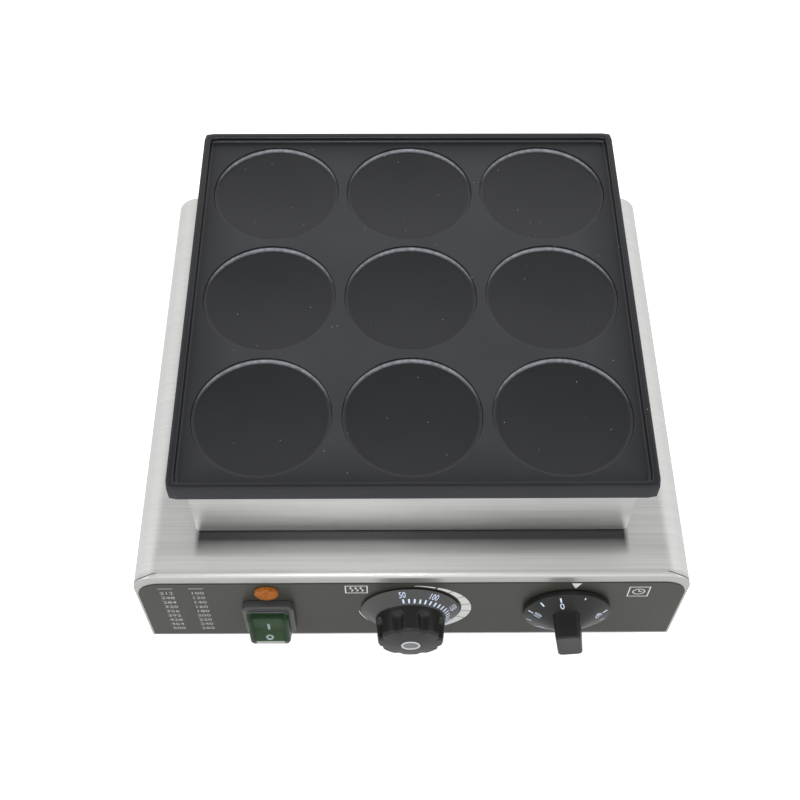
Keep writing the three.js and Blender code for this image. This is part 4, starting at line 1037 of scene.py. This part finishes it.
fitted("amber_lens", shifted(turned_out(lofted(lens_rings)), *on_panel("lamp_lens")), panel_frame, "casing",
       "amber_lens", lens_material, "lamp_lens", smooth=60)

# Rocker switch
# A black case with a bezel, a green rocker that tips about a pin, and over both a soft, clear,
# slightly smoky splash cover whose flange is clamped against the panel.
switch_x, switch_height = on_panel("switch_body")
dress(case_plastic, "switch_body")
rocker_tilt, rocker_half, rocker_width, rocker_round = 8.0, 13.0, 20.6, 0.9
rocker_rise, rocker_wings = 11.5, 1.83


def wing_rise(y):
    """How far the rocker's two wings have risen at a distance from its middle."""
    return abs(y) / rocker_half * rocker_wings


rocker_outline = [(-rocker_half, rocker_rise + rocker_wings), (-12.5, 3.0), (-9.9, -3.0), (9.9, -3.0),
                  (12.5, 3.0), (rocker_half, rocker_rise + rocker_wings)]
for i in range(1, 12):
    y = rocker_half - 2 * rocker_half * i / 12
    rocker_outline.append((y, rocker_rise + wing_rise(y) + 0.10 * (1 - abs(1 - i / 6))))


def rocker_ring(x, inset):
    middle = Vector((0.0, 4.0))
    ring = []
    for point in rocker_outline:
        away = Vector(point) - middle
        ring.append((x, *(middle + away - away.normalized() * inset)))
    return ring


rocker_rings = [rocker_ring(rocker_round * out - rocker_width / 2, rocker_round * inset)
                for out, inset in quarter(4)]
rocker_rings += [[(-x, y, z) for x, y, z in ring] for ring in reversed(rocker_rings)]
rocker_mesh = turned_out(lofted(rocker_rings))
rocker_place = panel_frame @ Matrix.Translation((switch_x, switch_height, -1.0)) @ spin(-rocker_tilt, "X")
green_plastic = moulded("green rocker plastic", (0.018, 0.060, 0.014), (0.026, 0.078, 0.020),
                        rough=(0.25, 0.35), bump=0.000006, Specular_IOR_Level=0.3)
fitted("green_rocker", rocker_mesh, rocker_place, "rocker", "green_rocker", green_plastic, "switch_rocker",
       smooth=45)
on_mark = [slab_of(rectangle((-0.75, 0.75), y), -0.05, 0.05) for y in ((-1.6, 0.0), (0.0, 5.4))]
marks = together(*on_mark, band_of(*ring_outlines(0, -9.0, 2.4, 1.1), -0.05, 0.05))
for vertex in marks.vertices:
    vertex.co.z += rocker_rise + 0.1 + wing_rise(vertex.co.y) + 0.03
mark_ink = printing_ink("white switch marks", (0.72, 0.86, 0.90), (0.80, 0.92, 0.95))
fitted("switch_marks", marks, rocker_place, "rocker", "green_rocker", mark_ink)

low, high = limits("switch_boot")
boot_seat = front_y - high.y


def cover_rings(*sizes):
    """A skin through rounded rectangles, each with its half width, top, bottom, corner radius, and
    depths at top and bottom."""
    rings = []
    for half_x, top, bottom, radius, z_top, z_bottom in sizes:
        ring = []
        for x_side, edge, y_side, start in ((1, top, 1, 0), (-1, top, 1, 90), (-1, bottom, -1, 180),
                                            (1, bottom, -1, 270)):
            ring += arc((x_side * (half_x - radius), edge - y_side * radius), radius, start, start + 90, 6)
        rings.append([(x, y, z_bottom + (z_top - z_bottom) * (y - bottom) / (top - bottom))
                      for x, y in ring])
    return lofted(rings, ends=False)


boot_half = (high.x - low.x) / 2
rim_front = boot_seat + 5.0
window_foot = (12.8, 16.5, -16.4, 3.8, 7.6, 8.3)
boot_skin = thickened(cover_rings(
    (boot_half, 19.0, -19.0, 4.5, boot_seat, boot_seat),
    (boot_half, 19.0, -19.0, 4.5, rim_front - 1.0, rim_front - 1.0),
    (boot_half - 0.3, 18.7, -18.7, 4.3, rim_front - 0.3, rim_front - 0.3),
    (boot_half - 0.9, 18.1, -18.1, 4.0, rim_front, rim_front),
    (13.6, 17.3, -17.3, 3.8, rim_front, rim_front),
    (13.2, 16.9, -16.8, 3.7, rim_front + 0.3, rim_front + 0.3),
    (12.9, 16.6, -16.5, 3.7, 6.4, 6.6), (13.1, 16.85, -16.6, 3.8, 7.0, 7.4), window_foot,
), 0.5)
window_skin = cover_rings(
    window_foot, (12.5, 16.1, -16.1, 3.8, 8.6, 10.4), (12.35, 15.8, -15.7, 3.7, 9.8, 12.7),
    (12.1, 15.5, -15.3, 3.6, 10.6, 13.7), (11.7, 15.0, -14.8, 3.5, 11.1, 14.3),
    (11.1, 14.3, -14.1, 3.3, 11.35, 14.6), (9.5, 12.6, -12.4, 2.8, 11.6, 14.5),
    (4.0, 6.0, -6.0, 2.0, 12.2, 13.75),
)
points, ring_points = len(window_skin.vertices), 28
window_skin = with_faces("window", window_skin, tuple(range(points - ring_points, points)))
window_skin = thickened(window_skin, 0.5)


def silicone(name, colour, pale, rough):
    """Soft moulded silicone with slight waves in it."""
    material, tree, shader, wire = blank_material(name)
    cloud = noise(tree, object_place(tree), 120.0, 3.0)
    wire("Base Color", between(tree, cloud, colour, pale))
    wire("Roughness", between(tree, cloud, *rough))
    wire("Normal", raised(tree, cloud, 0.0002))
    return material, tree, shader, wire


smoky, _, shader, _ = silicone("smoky silicone", (0.036, 0.038, 0.038), (0.052, 0.054, 0.053),
                               (0.24, 0.36))
shader.inputs["Alpha"].default_value = 0.94
splash_cover = fitted("splash_cover", shifted(boot_skin, switch_x, switch_height), panel_frame, None,
                      "clear_boot", smoky, "switch_boot", smooth=50)
tinted, tree, shader, wire = silicone("green-tinted silicone", (0.012, 0.034, 0.014),
                                      (0.018, 0.044, 0.018), (0.16, 0.26))
off_middle = reckoned(tree, "SUBTRACT", parts_of(tree, object_place(tree))["X"], switch_x * mm)
wire("Alpha", ramp(tree, reckoned(tree, "ABSOLUTE", off_middle), 0.0082, 0.0108, 0.22, 0.9))
shader.inputs["Specular IOR Level"].default_value = 0.2
fitted("splash_cover_window", shifted(window_skin, switch_x, switch_height), panel_frame, "rocker",
       "clear_boot", tinted, smooth=50)
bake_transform(splash_cover)

# Temperature knob
# A moulded knob: a conical skirt that carries the printed scale, a grip with eight finger
# flutes, and a small plain metal cap let into its face.
low, high = limits("temperature_knob")
knob_back, knob_crown = front_y - high.y, front_y - low.y
knob_face = knob_crown - 1.4
skirt_radius, grip_radius, grip_start, grip_taper, grip_round = 29.5, 21.0, 7.2, 1.7, 1.6
flute_radius, flute_centre, flute_start = 4.2, 22.2, 10.2
skirt_edge = knob_back + 0.9
knob_sides = 192
no_limit = 99.0


def ruled_ring(reach_at, z, sides):
    """A ring whose radius follows a rule of the angle in degrees."""
    reaches = [(reach_at(360 * i / sides), math.radians(360 * i / sides)) for i in range(sides)]
    return [(reach * math.cos(angle), reach * math.sin(angle), z) for reach, angle in reaches]


def flute_limit(turn, depth):
    """How far out the grip reaches at an angle, where a flute is scooped from it."""
    reach = flute_radius ** 2 - max(0.0, flute_start + flute_radius - depth) ** 2
    apart = math.radians(turn % 45 - 22.5)
    inside = reach - (flute_centre * math.sin(apart)) ** 2
    if depth < flute_start or inside <= 0:
        return no_limit
    return flute_centre * math.cos(apart) - math.sqrt(inside)


def grip_ring(radius, depth, shrink=0.0):
    sharpness = 4.0

    def reach_at(turn):
        limit = flute_limit(turn, min(depth, knob_face))
        if limit == no_limit:
            return radius - shrink
        eased = math.exp(-sharpness * radius) + math.exp(-sharpness * min(limit, radius + 3))
        return -math.log(eased) / sharpness - shrink

    return ruled_ring(reach_at, depth, knob_sides)


def plain_rings(*pairs):
    return [circle(radius, depth, knob_sides) for radius, depth in pairs]


slope = (grip_start - skirt_edge) / (skirt_radius - grip_radius)
knob_rings = plain_rings(
    (3.3, knob_back + 15.3), (3.3, knob_back), (7.0, knob_back), (7.0, knob_back + 3.0),
    (22.0, knob_back + 3.0), (22.0, knob_back), (skirt_radius - 0.4, knob_back),
    (skirt_radius, knob_back + 0.4),
    (skirt_radius, skirt_edge - 0.1), (skirt_radius - 0.3, skirt_edge + 0.15),
    *((r, skirt_edge + (skirt_radius - r) * slope) for r in (28.9, 25.0, 21.9)),
    (21.3, grip_start - 0.1), (grip_radius - 0.1, grip_start + 0.5))
for depth in (8.4, 9.4, 10.1, 10.3, 10.5, 10.8, 11.2, 11.7, 12.3, 13.0, 13.8, 14.4, 16.0, 18.0, 20.0,
              21.0, 21.6):
    tapered = grip_radius - grip_taper * (depth - grip_start) / (knob_face - grip_start)
    knob_rings.append(grip_ring(tapered, depth))
knob_rings += [grip_ring(grip_radius - grip_taper, knob_face - grip_round * down, grip_round * inward)
               for inward, down in quarter(6)[1:]]
knob_rings += plain_rings((14.5, knob_face + 0.45), (11.0, knob_face + 0.95), (8.0, knob_crown - 0.15),
                          (6.4, knob_crown), (6.2, knob_crown - 0.2), (6.2, knob_crown - 0.8))
knob_plastic, dial_plastic = (
    moulded(name, (0.009, 0.010, 0.009), (0.014, 0.015, 0.014), rough=(0.28, 0.38), bump=0.000012,
            speckle=1100.0, Specular_IOR_Level=0.3) for name in ("knob plastic", "dial plastic"))
tree = dial_plastic.node_tree
outward = parts_of(tree, object_place(tree))["Y"]
on_skirt = ramp(tree, outward, (front_y - 8.2) * mm, (front_y - 7.6) * mm)
overlaid(dial_plastic, on_skirt, (0.060, 0.062, 0.060))
knob_place = panel_frame @ Matrix.Translation((dial_x, dial_height, 0))
fitted("fluted_knob", turned_out(lofted(knob_rings)), knob_place, "temperature_dial", "knob_plastic",
       dial_plastic, "temperature_knob", smooth=50)

cap_front = knob_crown + 0.4
cap_profile = [(5.9, knob_crown - 0.7), (5.9, cap_front - 0.25), (5.7, cap_front), (4.7, cap_front),
               (4.5, cap_front - 0.25), (0.3, cap_front - 0.25)]
cap_metal = brushed_steel("cap metal", (2500.0, 40.0, 40.0), dark=(0.56, 0.60, 0.62),
                          pale=(0.70, 0.74, 0.76))
fitted("knob_cap_disc", turned(cap_profile, 64), knob_place, "temperature_dial", "knob_cap", cap_metal,
       "temperature_knob_cap")
inlay_profile = [(4.4, cap_front - 0.3), (4.4, cap_front - 0.2), (4.2, cap_front - 0.15),
                 (0.2, cap_front - 0.15)]
inlay_plastic = moulded("cap inlay plastic", (0.11, 0.12, 0.125), (0.16, 0.17, 0.175), rough=(0.35, 0.45))
fitted("knob_cap_inlay", turned(inlay_profile, 64), knob_place, "temperature_dial", "knob_plastic",
       inlay_plastic)


def round_the_axis_tree():
    """Sets one shape out round the Z axis in equal steps, as a dial's marks are."""
    group, given = new_group("round the axis", "GeometryNodeTree", {
        "Shape": "Geometry", "Count": "Int", "First Angle": "Float", "Step Angle": "Float",
        "Material": "Material",
    }, {"Shape": "Geometry"})
    points = add_node(group, "GeometryNodeMeshLine", {"Count": given["Count"], "Offset": (0.0, 0.0, 0.0)})
    number = add_node(group, "GeometryNodeInputIndex").outputs[0]
    turn = reckoned(group, "MULTIPLY_ADD", number, given["Step Angle"], given["First Angle"])
    rotation = add_node(group, "ShaderNodeCombineXYZ", {"Z": turn}).outputs[0]
    return spread_out(group, given, points.outputs[0], Rotation=rotation)


round_the_axis = round_the_axis_tree()


def on_cone(mesh, edge_radius, edge_depth, rise):
    """Lays a flat print on a conical skirt."""
    for vertex in mesh.vertices:
        radius = math.hypot(vertex.co.x, vertex.co.y)
        vertex.co.z += edge_depth + (edge_radius - radius) * rise + 0.02
    return mesh


dial_ink = printing_ink("dial ink", (0.58, 0.68, 0.84), (0.66, 0.76, 0.92))


def dial_ticks(half, reach, front, count, first, step):
    """Ticks between two radii, from a first angle on in equal steps, in degrees."""
    return set_out(slab_of(rectangle((-half, half), reach), -0.04, front), round_the_axis, Count=count,
                   First_Angle=math.radians(first), Step_Angle=math.radians(step), Material=dial_ink)


def dial_figures(words, size, radius, turn, scale=(1, 1, 1)):
    label = shifted(figures(words, size, 0.04), 0, radius, scale=scale)
    label.transform(spin(turn))
    return label


scale_start, scale_step = -11.0, 42.0
scale = [dial_ticks(0.55, (21.1, 23.9), 0.04, 26, -scale_start, -scale_step / 5)]
for number in range(6):
    turn = scale_start + number * scale_step
    scale.append(dial_figures(str(50 * (number + 1)), 5.1, 26.4, -turn, (0.85, 1, 1)))
fitted("temperature_scale", on_cone(together(*scale), skirt_radius, skirt_edge, slope), knob_place,
       "temperature_dial", "knob_plastic", dial_ink)

# Timer knob
# A low conical skirt with an eased edge and a tapered bar grip moulded across it. Its scale of
# minutes is printed on the cone, and the bar points at the zero mark.
low, high = limits("timer_knob")
timer_back, timer_face = front_y - high.y, front_y - low.y
rest_turn = 10.0
edge_front = timer_back + 3.6
cone_edge, cone_rise = 25.4, 0.5
disc_profile = [(3.3, edge_front + 3.0), (3.3, timer_back), (7.0, timer_back), (7.0, timer_back + 3.0),
                (22.0, timer_back + 3.0), (22.0, timer_back), (25.8, timer_back), (26.2, timer_back + 0.4)]
disc_profile += arc((25.4, edge_front - 0.8), 0.8, 0, 75, 5)
disc_profile += [(r, edge_front + (cone_edge - r) * cone_rise) for r in (25.2, 20.0, 14.0, 8.0)]
disc_profile += [(0.2, edge_front + (cone_edge - 8.0) * cone_rise)]
disc = turned_out(turned(disc_profile, 128))
bar_round = 1.1
bar_sections = [(8.2, 14.3, 3.0, edge_front + 0.4), (8.1, 14.2, 3.0, edge_front + 5.0),
                (7.7, 13.8, 2.9, timer_face - 7.0), (7.4, 13.6, 2.8, timer_face - bar_round)]
for inward, down in quarter(5)[1:]:
    inset = bar_round * inward
    bar_sections.append((7.4 - inset, 13.6 - inset, 2.8 - inset * 0.6, timer_face - bar_round * down))
bar_sections.append((5.2, 11.4, 1.8, timer_face - 0.1))
bar_grip = turned_out(lofted([sheet_ring(*section, steps=5) for section in bar_sections]))
bar_grip.transform(spin(rest_turn))
timer_place = panel_frame @ Matrix.Translation((timer_x, timer_height, 0))
fitted("bar_knob", combined(disc, bar_grip, "UNION"), timer_place, "timer_dial", "knob_plastic",
       knob_plastic, "timer_knob", smooth=40)

minute_step, scale_turn = 30.0, 15.0
timer_marks = [dial_ticks(0.5, (21.6, 24.5), 0.05, 10, scale_turn, minute_step)]
dot = slab_of(rectangle((-0.35, 0.35), (23.6, 24.8)), -0.04, 0.05)
dot.transform(spin(-20.5))
timer_marks.append(dot)
for number, words in ((0, "0"), (2, "10"), (4, "20"), (6, "30"), (9, "45")):
    timer_marks.append(dial_figures(words, 5.6, 18.7, scale_turn + minute_step * number))
fitted("timer_scale", on_cone(together(*timer_marks), cone_edge, edge_front, cone_rise), timer_place,
       "timer_dial", "knob_plastic", dial_ink)

# Cable gland and earth screw
# A moulded gland with a hexagon, a ribbed dome and a round mouth for the cord, and next to it a
# brass earth screw with a washer face.


def hex_radius(turn, corner_radius):
    """The distance to a hexagon's side at an angle, with two corners on the level axis."""
    return corner_radius * math.cos(math.radians(30)) / math.cos(math.radians(turn % 60 - 30))


def hex_ring(sides, depth, radius, hexagon=0.0, ribs=0.0):
    def reach_at(turn):
        reach = min(hex_radius(turn, hexagon), radius) if hexagon else radius
        return reach + ribs * max(0.0, math.cos(math.radians(turn * 16)))

    return ruled_ring(reach_at, depth, sides)


def at_the_back(low, high):
    """A frame on the rear panel at a piece's middle, with Z out of it."""
    middle = (low + high) / 2
    return upright_frame(rear_face, 0, -90) @ Matrix.Translation((middle.x, -middle.z, 0))


low, high = limits("cable_gland")
gland_reach = high.y - rear_face
hex_corner = max(high.x - low.x, high.z - low.z) / 2
gland_rings = [hex_ring(96, *sizes) for sizes in (
    (-11.2, 5.0), (-11.2, 7.6), (-10.8, 8.0), (0.3, 8.0), (0.3, 12.4, hex_corner), (0.9, 13.9, hex_corner),
    (5.7, 13.9, hex_corner), (6.3, 12.4, hex_corner), (6.3, 11.2), (6.8, 10.9, 0.0, 0.6),
    (15.5, 10.9, 0.0, 0.6), (17.0, 10.4, 0.0, 0.2),
    *((gland_reach - 3.0 + 3.0 * math.sin(math.radians(a)), 7.4 + 2.6 * math.cos(math.radians(a)))
      for a in (0, 30, 60, 85)),
    (gland_reach, 5.4), (gland_reach - 0.4, 5.0),
)]
gland_plastic = moulded("gland plastic", (0.018, 0.018, 0.019), (0.028, 0.028, 0.03), rough=(0.38, 0.5))
fitted("ribbed_gland", hooped("gland", gland_rings), at_the_back(low, high), "casing", "gland_plastic",
       gland_plastic, "cable_gland")

low, high = limits("earth_screw")
earth_tip, earth_head = low.y - rear_face, high.y - rear_face
earth_rings = [hex_ring(48, *sizes) for sizes in (
    (earth_tip, 2.1), (earth_tip + 0.4, 2.5), (0.3, 2.5), (0.3, 4.95), (0.9, 4.95), (0.9, 4.5, 4.9),
    (earth_head - 0.6, 4.9, 4.9), (earth_head, 4.0, 4.9),
)]
brass = brushed_steel("brass", (400.0, 400.0, 400.0), dark=(0.46, 0.34, 0.13), pale=(0.62, 0.48, 0.2))
fitted("earth_terminal", turned_out(lofted(earth_rings)), at_the_back(low, high), "casing", "brass", brass,
       "earth_screw")
